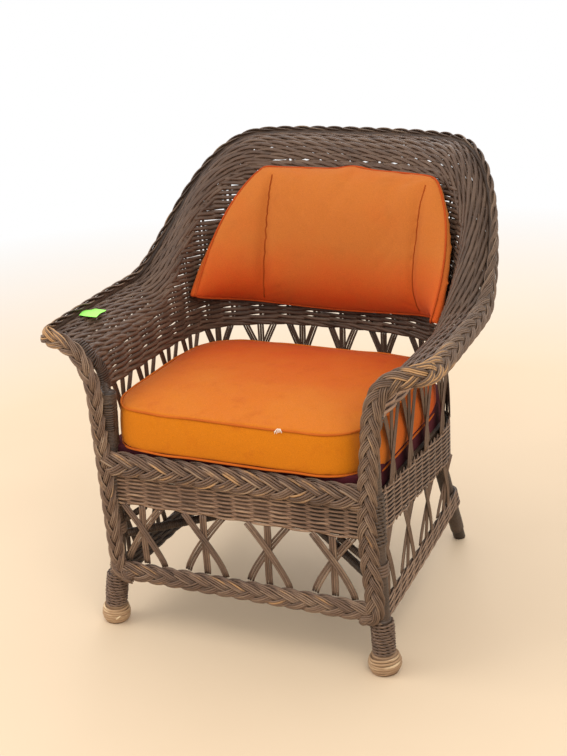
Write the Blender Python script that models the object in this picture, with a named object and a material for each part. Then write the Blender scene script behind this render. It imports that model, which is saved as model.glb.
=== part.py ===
"""A woven reed armchair with a loose seat cushion and a loose back cushion.

The frame is poles and bent rods. Reed is woven round it: a skirt round the seat, open lattices of crossing
staves above and below the skirt, and one wall that is the back and both arms and rolls outwards to a rim.
All sizes are in metres. X runs to the sitter's left, which is the viewer's right, Y to the back and Z up.
"""

import math

import bmesh
import bpy
import numpy as np

# Fit of one piece on another
CLEARANCE = 0.0003

# Plan of the seat, a U that is open to the front
SEAT_HALF_WIDTH = 0.283
SEAT_FRONT = -0.270
SEAT_BEND = 0.100
SEAT_BACK = 0.285
SEAT_CORNER = 2.8

# Plan and height of the rim
ARM_FLARE = 0.111
RIM_HALF_WIDTH = SEAT_HALF_WIDTH + ARM_FLARE
RIM_FRONT = SEAT_FRONT
RIM_BEND = -0.206
RIM_BACK = 0.446
RIM_CORNER = 3.2
RIM_ARM_HEIGHT = 0.602
RIM_ARM_CLIMB = 0.014
RIM_BACK_HEIGHT = 0.862
RIM_RISE_START_SHARE = 0.33
RIM_RISE_END_SHARE = 0.76
RIM_WIDTH = 0.036
RIM_DEPTH = 0.030
RIM_TURN = 0.002
RIM_GAP = 0.0006
RIM_SIDES = 6
SLOPE_STEP = 0.004

# Wall of the back and arms
WALL_THICKNESS = 0.008
WALL_RELIEF = 0.0027
WALL_ARM_BOTTOM = 0.492
WALL_BACK_BOTTOM = 0.472
WALL_ARM_FOLD = 0.592
WALL_BACK_FOLD = 0.870
WALL_BACK_LEAN = 0.025
WALL_FRONT_SETBACK = 0.020
WALL_SETBACK_FADE = 0.060
POST_COVER_SHARE = 0.36
POST_COVER_FADE_SHARE = 0.08
STAKE_PAIRS = 21
STAKE_GAP_SHARE = 0.26
WALL_ROWS = 15
HOLE_ROWS = (3, 7, 11, 13)

# Front posts
POST_RADIUS = 0.0165
POST_SPLAY = 0.011
POST_FOOT_X = SEAT_HALF_WIDTH + POST_SPLAY
POST_LEAN = 0.035
POST_TOP = 0.540
POST_SIDES = 12

# Reed turns and ball feet on the front posts
FOOT_HEIGHT = 0.038
FOOT_RADIUS = 0.0295
FOOT_TURNS = 4
FOOT_ROUND_SHARE = 0.40
LEG_WRAP_TOP = 0.1067
LEG_WRAP_RADIUS = 0.0230
LEG_WRAP_TURNS = 5
REED_TURN_DEPTH = 0.0020

# Rear legs
REAR_LEG_RADIUS = 0.015
REAR_LEG_INSET = 0.037
REAR_LEG_X = SEAT_HALF_WIDTH - REAR_LEG_INSET
REAR_FOOT_Y = 0.302
REAR_RAKE = 0.50

# Seat frame under the weave
FRAME_ROD_RADIUS = 0.011
FRAME_ROD_HEIGHT = 0.330
HOOP_SIDES = 6
DECK_THICKNESS = 0.050

# Skirt and its front plait
SKIRT_BOTTOM = 0.270
SKIRT_FRONT_TOP = 0.353
SKIRT_BACK_TOP = 0.335
SKIRT_BACK_BOTTOM = 0.255
SKIRT_SAG_LENGTH = 0.300
SKIRT_THICKNESS = 0.010
SKIRT_RELIEF = 0.0024
SKIRT_ROWS = 6
SKIRT_COLUMNS = 26
FRONT_Y = SEAT_FRONT - 0.008
SEAT_BRAID_BOTTOM = 0.330
SEAT_BRAID_TOP = 0.386
SEAT_BRAID_DEPTH = 0.020
FRONT_SKIRT_ROWS = 3
FRONT_SKIRT_COLUMNS = 12

# Bottom border
BOTTOM_BRAID_BOTTOM = 0.107
BOTTOM_BRAID_TOP = 0.147
BOTTOM_BRAID_DEPTH = 0.018
BAND_FRONT_BOTTOM = 0.065
BAND_FRONT_TOP = 0.134
BAND_BACK_BOTTOM = 0.100
BAND_BACK_TOP = 0.147
BAND_TOP_ARCH = 0.015
BAND_BOTTOM_ARCH = 0.0275
BAND_THICKNESS = 0.010
BAND_RELIEF = 0.0016
BAND_BACK_Y = 0.245
BAND_ROWS = 4
BAND_COLUMNS = 8

# Plaits down the posts and along the arm fronts
POST_BRAID_WIDTH = 0.038
POST_BRAID_DEPTH = 0.008
ARM_BRAID_DEPTH = 0.018
ARM_BRAID_WIDTH = 0.032
ARM_BRAID_START_SHARE = 0.40
ARM_BRAID_POINTS = 6
ARM_BRAID_OVERRUN = 1.35
BRAID_LEAN = 0.45
BRAID_VALLEY = 0.72
BRAID_EDGE = 0.45
BRAID_FADE = 3.0
BRAID_PITCH = 0.018
WIDE_BRAID_PITCH = 0.026

# Lattice staves
STAVE_WIDTH = 0.012
STAVE_THICKNESS = 0.003
STAVE_LAYER = 0.0026
STAVE_LEVELS = 4
STAVE_BEND = 1.25
UPPER_GROUPS = 15
UPPER_SPREAD_TOP = 0.030
UPPER_SPREAD_BOTTOM = 0.017
FRONT_GROUPS = 4
FRONT_SPREAD_TOP = 0.040
FRONT_SPREAD_BOTTOM = 0.042
SIDE_GROUPS = 4
SIDE_SPREAD = 0.030

# Braces under the seat
BAR_RADIUS = 0.0085
BAR_HEIGHT = 0.194
CORNER_BRACE_RADIUS = 0.007
CORNER_BRACE_DROP = 0.055
CORNER_BRACE_REACH = 0.065

# Seat cushion
SEAT_CUSHION_INSET = 0.024
SEAT_CUSHION_HALF_WIDTH = SEAT_HALF_WIDTH - SEAT_CUSHION_INSET
SEAT_CUSHION_FRONT = SEAT_FRONT - 0.012
SEAT_CUSHION_BACK = 0.180
SEAT_CUSHION_CORNER = 5.0
SEAT_CUSHION_POINTS = 28
SEAT_CUSHION_SIDE_HEIGHT = 0.082
SEAT_CUSHION_CROWN = 0.026
# Shares of the cushion's reach, of its side height and of its crown, from below
SEAT_CUSHION_PROFILE = (
    (0.55, 0.0, 0.0),
    (0.975, 0.0, 0.0),
    (1.0, 0.12, 0.0),
    (1.0, 0.85, 0.0),
    (0.975, 1.0, 0.0),
    (0.86, 1.0, 0.45),
    (0.55, 1.0, 0.88),
    (0.2, 1.0, 1.0),
)

# Back cushion, measured on the wall that it leans against
BACK_CUSHION_THICKNESS = 0.066
BACK_CUSHION_EDGE = 0.020
BACK_CUSHION_EASE = 0.0030
BACK_CUSHION_ROUNDING = 6
BACK_CUSHION_BOTTOM_SHARE = 0.085
BACK_CUSHION_WING_SHARE = 0.13
BACK_CUSHION_TOP_SHARE = 0.64
BACK_CUSHION_TOP_HALF_SHARE = 0.135
BACK_CUSHION_WING_HALF_SHARE = 0.255
BACK_CUSHION_COLUMNS = 12
BACK_CUSHION_LEVELS = 7


def paint(name, colour, roughness, metallic=0.0):
    """A material with one Principled BSDF."""
    material = bpy.data.materials.new(name)
    material.use_nodes = True
    shader = material.node_tree.nodes["Principled BSDF"]
    shader.inputs["Base Color"].default_value = (*colour, 1.0)
    shader.inputs["Roughness"].default_value = roughness
    shader.inputs["Metallic"].default_value = metallic
    return material


def clear_scene():
    for obj in list(bpy.data.objects):
        bpy.data.objects.remove(obj, do_unlink=True)


def make_piece(name, points, faces, material, parent=None, smooth=False):
    """An object from points and faces, with its normals turned outwards."""
    mesh = bpy.data.meshes.new(name)
    mesh.from_pydata([tuple(map(float, p)) for p in points], [], faces)
    shape = bmesh.new()
    shape.from_mesh(mesh)
    bmesh.ops.recalc_face_normals(shape, faces=shape.faces)
    shape.to_mesh(mesh)
    shape.free()
    if smooth:
        mesh.shade_smooth()
        mesh.set_sharp_from_angle(angle=math.radians(40))
    obj = bpy.data.objects.new(name, mesh)
    bpy.context.scene.collection.objects.link(obj)
    mesh.materials.append(material)
    obj.parent = parent
    return obj


def sheet_faces(columns, rows, is_open):
    """Faces of a wall whose two sides are grids of points, the outer side first.

    A cell named by is_open is a gap through the wall, with its own four walls.
    """
    def outer(i, j):
        return i * rows + j

    def inner(i, j):
        return columns * rows + i * rows + j

    def solid(i, j):
        return 0 <= i < columns - 1 and 0 <= j < rows - 1 and not is_open(i, j)

    faces = []
    for i in range(columns - 1):
        for j in range(rows - 1):
            if not solid(i, j):
                continue
            faces.append((outer(i, j), outer(i + 1, j), outer(i + 1, j + 1), outer(i, j + 1)))
            faces.append((inner(i, j), inner(i, j + 1), inner(i + 1, j + 1), inner(i + 1, j)))
            sides = (
                (i - 1, j, (i, j), (i, j + 1)),
                (i + 1, j, (i + 1, j + 1), (i + 1, j)),
                (i, j - 1, (i + 1, j), (i, j)),
                (i, j + 1, (i, j + 1), (i + 1, j + 1)),
            )
            for ni, nj, a, b in sides:
                if not solid(ni, nj):
                    faces.append((outer(*a), outer(*b), inner(*b), inner(*a)))
    return faces


def sheet(name, outer, inner, material, parent, is_open=lambda i, j: False):
    """A closed wall between two grids of points, shaped (columns, rows, 3)."""
    columns, rows = outer.shape[:2]
    points = np.concatenate([outer.reshape(-1, 3), inner.reshape(-1, 3)])
    used = sheet_faces(columns, rows, is_open)
    return make_piece(name, points, used, material, parent)


def loft(name, rings, material, parent, closed=False):
    """A skin over rings of points, with both ends capped, or joined to each other where closed."""
    count = len(rings)
    around = len(rings[0])
    faces = []
    for i in range(count if closed else count - 1):
        first = i * around
        second = (i + 1) % count * around
        for k in range(around):
            after = (k + 1) % around
            faces.append((first + k, first + after, second + after, second + k))
    if not closed:
        faces.append(tuple(range(around)))
        faces.append(tuple(range((count - 1) * around, count * around)))
    return make_piece(name, np.concatenate(rings), faces, material, parent, smooth=True)


def level_ring(centre, radius_x, radius_y, sides):
    """A level ellipse of points."""
    turn = (np.arange(sides) + 0.5) * 2 * math.pi / sides
    x = centre[0] + radius_x * np.cos(turn)
    y = centre[1] + radius_y * np.sin(turn)
    return np.stack([x, y, np.full(sides, centre[2])], -1)


def ring_across(centre, direction, radius, sides):
    """A circle of points square to a direction that isn't upright."""
    along = np.array(direction, float)
    along /= np.linalg.norm(along)
    across = np.cross(along, (0, 0, 1))
    across /= np.linalg.norm(across)
    up = np.cross(across, along)
    turn = math.pi / 2 + np.arange(sides) * 2 * math.pi / sides
    return np.array(centre) + radius * (np.outer(np.cos(turn), across) + np.outer(np.sin(turn), up))


def plan_points(shares, half_width, front, bend, back, corner):
    """Points and outward directions along a U in plan, at shares of its length from the left front end.

    The sides are straight to bend, and a superellipse quarter closes each back corner.
    """
    turn = np.linspace(0, math.pi / 2, 80)
    corner_x = half_width * np.cos(turn) ** (2 / corner)
    corner_y = bend + (back - bend) * np.sin(turn) ** (2 / corner)
    half_x = np.concatenate([[half_width], corner_x])
    half_y = np.concatenate([[front], corner_y])
    x = np.concatenate([-half_x, half_x[-2::-1]])
    y = np.concatenate([half_y, half_y[-2::-1]])
    length = np.concatenate([[0], np.cumsum(np.hypot(np.diff(x), np.diff(y)))])

    def read(at):
        return np.stack([np.interp(at, length, x), np.interp(at, length, y)], -1)

    at = np.asarray(shares, float) * length[-1]
    step = length[-1] / 400
    way = read(np.minimum(at + step, length[-1])) - read(np.maximum(at - step, 0))
    way /= np.linalg.norm(way, axis=-1, keepdims=True)
    return read(at), np.stack([-way[..., 1], way[..., 0]], -1)


def seat_plan(shares):
    return plan_points(shares, SEAT_HALF_WIDTH, SEAT_FRONT, SEAT_BEND, SEAT_BACK, SEAT_CORNER)


def to_back(shares):
    """0 at either front end of the U and 1 at the middle of the back."""
    return 1 - np.abs(2 * np.asarray(shares, float) - 1)


def back_rise(shares):
    """How far the rim has climbed from the arm to the top of the back, from 0 to 1."""
    share = (to_back(shares) - RIM_RISE_START_SHARE) / (RIM_RISE_END_SHARE - RIM_RISE_START_SHARE)
    share = np.clip(share, 0, 1)
    return share * share * (3 - 2 * share)


def blend(arm_value, back_value, rise):
    return arm_value + (back_value - arm_value) * rise


def rim_line(shares):
    """Middle line of the rim."""
    flat, _ = plan_points(shares, RIM_HALF_WIDTH, RIM_FRONT, RIM_BEND, RIM_BACK, RIM_CORNER)
    climb = RIM_ARM_CLIMB * np.minimum(to_back(shares) / RIM_RISE_START_SHARE, 1)
    arm = RIM_ARM_HEIGHT + climb
    height = blend(arm, RIM_BACK_HEIGHT, back_rise(shares))
    return np.concatenate([flat, height[..., None]], -1)


def wall_bottom(shares):
    return blend(WALL_ARM_BOTTOM, WALL_BACK_BOTTOM, back_rise(shares))


def wall_middle(shares, heights):
    """Points of the wall's middle surface, shaped (shares, heights, 3).

    Each upright section is a quadratic curve from the lattice top, past the fold, out to the rim.
    """
    shares = np.asarray(shares, float)
    rise = back_rise(shares)
    flat, out = seat_plan(shares)
    low = np.concatenate([flat, wall_bottom(shares)[:, None]], -1)
    fold_flat = flat + out * (WALL_BACK_LEAN * rise)[:, None]
    fold = np.concatenate([fold_flat, blend(WALL_ARM_FOLD, WALL_BACK_FOLD, rise)[:, None]], -1)
    rim = rim_line(shares)
    along = rim_line(np.minimum(shares + SLOPE_STEP, 1)) - rim_line(np.maximum(shares - SLOPE_STEP, 0))
    along /= np.linalg.norm(along, axis=-1, keepdims=True)
    way = rim - fold
    way /= np.linalg.norm(way, axis=-1, keepdims=True)
    # The wall meets the rim at a slant where the stakes fan out, so it stops further from the middle line.
    square = np.sqrt(1 - np.sum(way * along, axis=-1, keepdims=True) ** 2)
    high = rim - way * (RIM_WIDTH / 2 + RIM_TURN + RIM_GAP) / square
    v = np.asarray(heights, float)[None, :, None]
    curve = (1 - v) ** 2 * low[:, None] + 2 * v * (1 - v) * fold[:, None] + v ** 2 * high[:, None]
    # Below the arm the wall starts behind the post, and above it the wall covers the post's top.
    setback = WALL_FRONT_SETBACK * np.clip((POST_COVER_SHARE - v) / POST_COVER_FADE_SHARE, 0, 1)
    near = np.clip((SEAT_FRONT + WALL_SETBACK_FADE - curve[..., 1:2]) / WALL_SETBACK_FADE, 0, 1)
    curve[..., 1:2] += setback * near
    return curve


def surface_out(points):
    """Outward directions of a grid of points, by its own slopes."""
    along = np.gradient(points, axis=0)
    up = np.gradient(points, axis=1)
    out = np.cross(up, along)
    return out / np.linalg.norm(out, axis=-1, keepdims=True)


def stake_shares():
    """Shares of the wall's length at both sides of each pair of stakes."""
    pitch = 1 / STAKE_PAIRS
    shares = []
    for pair in range(STAKE_PAIRS):
        shares.append(pair * pitch + pitch * STAKE_GAP_SHARE / 2)
        shares.append((pair + 1) * pitch - pitch * STAKE_GAP_SHARE / 2)
    shares[0] = 0.0
    shares[-1] = 1.0
    return np.array(shares)


def make_wall(parent, material):
    """Back and arms as one woven wall, with a gap through it between stake pairs in some rows."""
    shares = stake_shares()
    heights = np.linspace(0, 1, WALL_ROWS + 1)
    middle = wall_middle(shares, heights)
    out = surface_out(middle)
    column = np.arange(len(shares))[:, None]
    row = np.arange(WALL_ROWS + 1)[None, :]
    over = np.where((column // 2 + row) % 2 == 0, 1.0, -1.0)
    over[:, 0] = 0
    over[:, -1] = 0
    wave = (over * WALL_RELIEF)[..., None] * out
    outer = middle + wave + out * WALL_THICKNESS / 2
    inner = middle + wave - out * WALL_THICKNESS / 2
    # The lower edge is level from side to side, because the staves meet it from below.
    outer[:, 0, 2] = middle[:, 0, 2]
    inner[:, 0, 2] = middle[:, 0, 2]
    return sheet(
        "arm_and_back_weave", outer, inner, material, parent,
        lambda i, j: i % 2 == 1 and j in HOLE_ROWS,
    )


def make_rim(parent, material):
    """Plaited edge along both arms and over the back."""
    shares = stake_shares()
    middle = rim_line(shares)
    inner_edge = wall_middle(shares, [1.0])[:, 0]
    along = np.gradient(middle, axis=0)
    along /= np.linalg.norm(along, axis=-1, keepdims=True)
    towards = middle - inner_edge
    towards -= along * np.sum(towards * along, axis=-1, keepdims=True)
    towards /= np.linalg.norm(towards, axis=-1, keepdims=True)
    above = np.cross(towards, along)
    turn = np.arange(RIM_SIDES) * 2 * math.pi / RIM_SIDES
    rings = []
    for i, centre in enumerate(middle):
        swell = RIM_TURN if i % 2 else 0.0
        wide = (RIM_WIDTH / 2 + swell) * np.outer(np.cos(turn), towards[i])
        deep = (RIM_DEPTH / 2 + swell) * np.outer(np.sin(turn), above[i])
        rings.append(centre + wide + deep)
    # Both ends are cut square to the front, where the arm's plait covers them.
    rings[0][:, 1] = RIM_FRONT
    rings[-1][:, 1] = RIM_FRONT
    return loft("rim_plait", rings, material, parent)


def post_centre(height, side):
    return side * (POST_FOOT_X - POST_LEAN * height)


def make_post(side, tag, parent, material):
    rings = []
    for height in (0.0, POST_TOP):
        centre = (post_centre(height, side), SEAT_FRONT, height)
        rings.append(level_ring(centre, POST_RADIUS, POST_RADIUS, POST_SIDES))
    return loft("front_post_" + tag, rings, material, parent)


def post_sleeve(name, bottom, top, radii, side, parent, material):
    """A ring of reed round a front post, with its bore clear of the post."""
    bore = POST_RADIUS + CLEARANCE
    heights = np.linspace(bottom, top, len(radii))
    rings = []
    for height, radius in zip(heights, radii):
        centre = (post_centre(height, side), SEAT_FRONT, height)
        rings.append(level_ring(centre, radius, radius, POST_SIDES))
    for height in (top, bottom):
        centre = (post_centre(height, side), SEAT_FRONT, height)
        rings.append(level_ring(centre, bore, bore, POST_SIDES))
    return loft(name, rings, material, parent, closed=True)


def make_foot(side, tag, parent, material):
    """Ball foot of reed turns, flat below."""
    steps = np.linspace(-1, 1, 2 * FOOT_TURNS + 1)
    ball = FOOT_RADIUS * np.sqrt(1 - FOOT_ROUND_SHARE * steps ** 2)
    ball[1::2] += REED_TURN_DEPTH / 2
    ball[0::2] -= REED_TURN_DEPTH / 2
    return post_sleeve("ball_foot_" + tag, 0.0, FOOT_HEIGHT, ball, side, parent, material)


def make_leg_wrap(side, tag, parent, material):
    radii = np.full(2 * LEG_WRAP_TURNS + 1, LEG_WRAP_RADIUS)
    radii[0::2] -= REED_TURN_DEPTH
    bottom = FOOT_HEIGHT + CLEARANCE
    return post_sleeve("leg_wrap_" + tag, bottom, LEG_WRAP_TOP, radii, side, parent, material)


def rear_leg_y(height):
    return REAR_FOOT_Y - REAR_RAKE * height


def make_rear_leg(side, tag, parent, material):
    """Raked pole, cut level at the floor and under the seat hoop."""
    top = FRAME_ROD_HEIGHT - FRAME_ROD_RADIUS - CLEARANCE
    long_radius = REAR_LEG_RADIUS * math.hypot(1, REAR_RAKE)
    rings = []
    for height in (0.0, top / 2, top):
        centre = (side * REAR_LEG_X, rear_leg_y(height), height)
        rings.append(level_ring(centre, REAR_LEG_RADIUS, long_radius, 10))
    return loft("rear_leg_" + tag, rings, material, parent)


def seat_shares():
    return np.linspace(0, 1, SKIRT_COLUMNS + 1)


def behind_post():
    """Front end of the U pieces, just behind the front posts."""
    return SEAT_FRONT + POST_RADIUS + CLEARANCE


def skirt_line(offset, front):
    """Points of the seat's U in plan from a front end, moved out by offset."""
    flat, out = plan_points(seat_shares(), SEAT_HALF_WIDTH, front, SEAT_BEND, SEAT_BACK, SEAT_CORNER)
    return flat + out * offset, out


def skirt_sag(y):
    """How far the skirt has sunk at a place along the side, from 0 at the posts to 1."""
    return np.clip((y - behind_post()) / SKIRT_SAG_LENGTH, 0, 1)


def skirt_top(y):
    return blend(SKIRT_FRONT_TOP, SKIRT_BACK_TOP, skirt_sag(y))


def skirt_bottom(y):
    return blend(SKIRT_BOTTOM, SKIRT_BACK_BOTTOM, skirt_sag(y))


def make_round_skirt(parent, material):
    """Woven band round the sides and the back of the seat, sunk a little behind the posts."""
    flat, out = skirt_line(0, behind_post())
    heights = np.linspace(0, 1, SKIRT_ROWS + 1)
    low = skirt_bottom(flat[:, 1:])
    column = np.arange(len(flat))[:, None]
    row = np.arange(len(heights))[None, :]
    over = np.where((column + row) % 2 == 0, 1.0, -1.0) * SKIRT_RELIEF
    over[:, 0] = 0
    over[:, -1] = 0
    middle = np.zeros((len(flat), len(heights), 3))
    middle[..., :2] = flat[:, None]
    middle[..., 2] = low + (skirt_top(flat[:, 1:]) - low) * heights
    away = np.zeros_like(middle)
    away[..., :2] = out[:, None]
    wave = over[..., None] * away
    half = away * SKIRT_THICKNESS / 2
    return sheet("skirt_round", middle + wave + half, middle + wave - half, material, parent)


def inner_post_edge(height, gap):
    """X of the right front post's inner side, less a gap."""
    return post_centre(height, 1) - POST_RADIUS - gap


def flat_weave(name, corners, depth, columns, rows, relief, facing, parent, material):
    """A woven band between four corners, given as left and right bottoms and tops."""
    low_left, low_right, high_left, high_right = (np.array(c, float) for c in corners)
    u = np.linspace(0, 1, columns + 1)[:, None, None]
    v = np.linspace(0, 1, rows + 1)[None, :, None]
    low = low_left + (low_right - low_left) * u
    high = high_left + (high_right - high_left) * u
    middle = low + (high - low) * v
    over = np.where((np.arange(columns + 1)[:, None] + np.arange(rows + 1)) % 2 == 0, relief, -relief)
    over[:, 0] = 0
    over[:, -1] = 0
    facing = np.array(facing, float)
    wave = over[..., None] * facing
    half = facing * depth / 2
    return sheet(name, middle + wave + half, middle + wave - half, material, parent)


def make_front_skirt(parent, material):
    top = SEAT_BRAID_BOTTOM - CLEARANCE
    low = inner_post_edge(SKIRT_BOTTOM, CLEARANCE)
    high = inner_post_edge(top, CLEARANCE)
    corners = (
        (-low, FRONT_Y, SKIRT_BOTTOM),
        (low, FRONT_Y, SKIRT_BOTTOM),
        (-high, FRONT_Y, top),
        (high, FRONT_Y, top),
    )
    return flat_weave(
        "skirt_front", corners, SKIRT_THICKNESS, FRONT_SKIRT_COLUMNS, FRONT_SKIRT_ROWS,
        SKIRT_RELIEF, (0, -1, 0), parent, material,
    )


def side_band_x(share):
    """X of the bottom side band, which closes in on the rear leg."""
    front = SEAT_HALF_WIDTH
    rear = REAR_LEG_X + REAR_LEG_RADIUS + CLEARANCE + BAND_THICKNESS / 2 + BAND_RELIEF / 2
    return front + (rear - front) * share


def band_share(y):
    start = SEAT_FRONT + LEG_WRAP_RADIUS + CLEARANCE
    return (y - start) / (BAND_BACK_Y - start)


def band_top(share):
    return blend(BAND_FRONT_TOP, BAND_BACK_TOP, share) - BAND_TOP_ARCH * np.sin(math.pi * share)


def band_bottom(share):
    return blend(BAND_FRONT_BOTTOM, BAND_BACK_BOTTOM, share) - BAND_BOTTOM_ARCH * np.sin(math.pi * share)


def make_side_band(side, tag, parent, material):
    """Arched woven band between the front post and the rear leg."""
    u = np.linspace(0, 1, BAND_COLUMNS + 1)[:, None]
    v = np.linspace(0, 1, BAND_ROWS + 1)[None, :]
    start = SEAT_FRONT + LEG_WRAP_RADIUS + CLEARANCE
    low = band_bottom(u)
    middle = np.zeros((len(u), BAND_ROWS + 1, 3))
    middle[..., 0] = side * side_band_x(u)
    middle[..., 1] = start + (BAND_BACK_Y - start) * u
    middle[..., 2] = low + (band_top(u) - low) * v
    over = np.where((np.arange(len(u))[:, None] + np.arange(BAND_ROWS + 1)) % 2 == 0, 1.0, -1.0)
    over[:, 0] = 0
    over[:, -1] = 0
    facing = np.array([side, 0.0, 0.0])
    wave = (over * BAND_RELIEF)[..., None] * facing
    half = facing * BAND_THICKNESS / 2
    return sheet("bottom_band_" + tag, middle + wave + half, middle + wave - half, material, parent)


def braid(name, path, across, facing, width, depth, pitch, parent, material):
    """A plait along a path: V-shaped strands in relief that point along the path.

    across and facing are the directions of its width and of its front at each point of the path.
    """
    path = np.asarray(path, float)
    step = np.linalg.norm(np.diff(path, axis=0), axis=1)
    length = np.concatenate([[0], np.cumsum(step)])
    rows = 2 * max(2, round(length[-1] / pitch)) + 1
    at = np.linspace(0, length[-1], rows)
    lean = width * BRAID_LEAN
    fade_length = BRAID_FADE * lean
    fade = np.clip((length[-1] - at) / fade_length, 0, 1) * np.clip(at / fade_length, 0, 1)

    def read(values, where):
        return np.stack([np.interp(where, length, values[:, k]) for k in range(3)], -1)

    across = np.broadcast_to(np.asarray(across, float), path.shape)
    facing = np.broadcast_to(np.asarray(facing, float), path.shape)
    front = []
    back = []
    ridge = np.where(np.arange(rows) % 2 == 1, 1.0, BRAID_VALLEY)
    for place in (-1, 0, 1):
        where = at + lean * (1 - abs(place)) * fade
        centre = read(path, where) + read(across, where) * place * width / 2
        out = read(facing, where)
        swell = depth * (1 - BRAID_EDGE * abs(place)) * ridge
        front.append(centre + out * swell[:, None])
        back.append(centre)
    return sheet(name, np.stack(front, 1), np.stack(back, 1), material, parent)


def make_post_braid(side, tag, parent, material):
    heights = np.array([POST_TOP + POST_BRAID_WIDTH / 2, BOTTOM_BRAID_BOTTOM])
    back = SEAT_FRONT - POST_RADIUS - CLEARANCE
    path = [(post_centre(h, side), back, h) for h in heights]
    return braid(
        "post_plait_" + tag, path, (1, 0, 0), (0, -1, 0), POST_BRAID_WIDTH, POST_BRAID_DEPTH,
        BRAID_PITCH, parent, material,
    )


def make_level_braid(name, bottom, top, depth, pitch, parent, material):
    """A level plait between the two post plaits."""
    height = (bottom + top) / 2
    half = post_centre(top, 1) - POST_BRAID_WIDTH / 2 - CLEARANCE
    back = FRONT_Y + SKIRT_THICKNESS / 2
    path = [(-half, back, height), (half, back, height)]
    return braid(
        name, path, (0, 0, 1), (0, -1, 0), top - bottom, depth, pitch, parent, material
    )


def make_arm_braid(side, tag, parent, material):
    """Plait over the front end of the arm, from the post's top out to the rim's end."""
    share = 0.0 if side < 0 else 1.0
    heights = np.linspace(ARM_BRAID_START_SHARE, 1.0, ARM_BRAID_POINTS)
    edge = wall_middle([share], heights)[0]
    end = rim_line(np.array([share]))[0]
    reach = end - edge[-1]
    path = np.concatenate([edge, [edge[-1] + reach * ARM_BRAID_OVERRUN]])
    path[:, 1] = SEAT_FRONT - CLEARANCE
    way = np.gradient(path, axis=0)
    way /= np.linalg.norm(way, axis=-1, keepdims=True)
    across = np.cross(way, (0, 1, 0))
    return braid(
        "arm_front_plait_" + tag, path, across, (0, -1, 0), ARM_BRAID_WIDTH, ARM_BRAID_DEPTH,
        BRAID_PITCH, parent, material,
    )


def ribbon_points(low, high, facing, along, offsets, layer, tilt):
    """Corners of one flat stave from the lower to the upper edge of a lattice.

    low and high give the lattice's edges at a place along it, offsets the stave's run at each level,
    and tilt widens its level section so that a leaning stave keeps its width.
    """
    levels = np.linspace(0, 1, len(offsets))
    half_width = STAVE_WIDTH / 2 * tilt
    rings = []
    for level, offset in zip(levels, offsets):
        corners = []
        for place, depth in ((-1, -1), (1, -1), (1, 1), (-1, 1)):
            at = along + offset + place * half_width
            point = low(at) + (high(at) - low(at)) * level
            corners.append(point + facing(at) * (layer + depth * STAVE_THICKNESS / 2))
        rings.append(np.array(corners))
    return rings


def union(target, others):
    """Joins the others into the target and leaves one plain mesh."""
    for other in others:
        join = target.modifiers.new("join", "BOOLEAN")
        join.operation = "UNION"
        join.object = other
    graph = bpy.context.evaluated_depsgraph_get()
    joined = bpy.data.meshes.new_from_object(target.evaluated_get(graph))
    target.modifiers.clear()
    target.data = joined
    for other in others:
        bpy.data.objects.remove(other, do_unlink=True)
    return target


def lattice_group(name, low, high, facing, along, bottom_spread, top_spread, parent, material):
    """Three staves that cross: one leans each way and one stands upright between them."""
    eased = np.linspace(0, 1, STAVE_LEVELS) ** STAVE_BEND
    height = np.linalg.norm(high(along) - low(along))
    tilt = math.hypot(1, (bottom_spread + top_spread) / height)
    runs = (
        (np.zeros(2), 0.0, 1.0),
        (-bottom_spread + (bottom_spread + top_spread) * eased, -STAVE_LAYER, tilt),
        (bottom_spread - (bottom_spread + top_spread) * eased, STAVE_LAYER, tilt),
    )
    staves = []
    for offsets, layer, wide in runs:
        rings = ribbon_points(low, high, facing, along, offsets, layer, wide)
        staves.append(loft(name, rings, material, parent))
    group = union(staves[0], staves[1:])
    group.name = name
    return group


def make_upper_lattice(parent, material):
    """Staves between the skirt and the wall, all round."""
    dense = np.linspace(0, 1, 401)
    flat, out = plan_points(
        dense, SEAT_HALF_WIDTH, SEAT_FRONT, SEAT_BEND, SEAT_BACK, SEAT_CORNER
    )
    length = np.concatenate([[0], np.cumsum(np.linalg.norm(np.diff(flat, axis=0), axis=1))])
    bottoms = wall_bottom(dense)

    def read(at, columns):
        return np.array([np.interp(at, length, column) for column in columns])

    def low(at):
        x, y = read(at, flat.T)
        return np.array([x, y, skirt_top(y) + CLEARANCE])

    def high(at):
        return np.append(read(at, flat.T), read(at, [bottoms])[0] - CLEARANCE)

    def facing(at):
        return np.append(read(at, out.T), 0.0)

    for number in range(1, UPPER_GROUPS + 1):
        along = length[-1] * number / (UPPER_GROUPS + 1)
        lattice_group(
            f"upper_staves_{number:02d}", low, high, facing, along,
            UPPER_SPREAD_BOTTOM, UPPER_SPREAD_TOP, parent, material,
        )


def make_front_lattice(parent, material):
    """Staves between the bottom plait and the front skirt."""
    def low(at):
        return np.array([at, FRONT_Y, BOTTOM_BRAID_TOP + CLEARANCE])

    def high(at):
        return np.array([at, FRONT_Y, SKIRT_BOTTOM - CLEARANCE])

    def facing(at):
        return np.array([0.0, -1.0, 0.0])

    half = inner_post_edge(SKIRT_BOTTOM, 0)
    pitch = 2 * half / FRONT_GROUPS
    for number in range(FRONT_GROUPS):
        lattice_group(
            f"front_staves_{number + 1}", low, high, facing, -half + pitch * (number + 0.5),
            FRONT_SPREAD_BOTTOM, FRONT_SPREAD_TOP, parent, material,
        )


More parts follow.
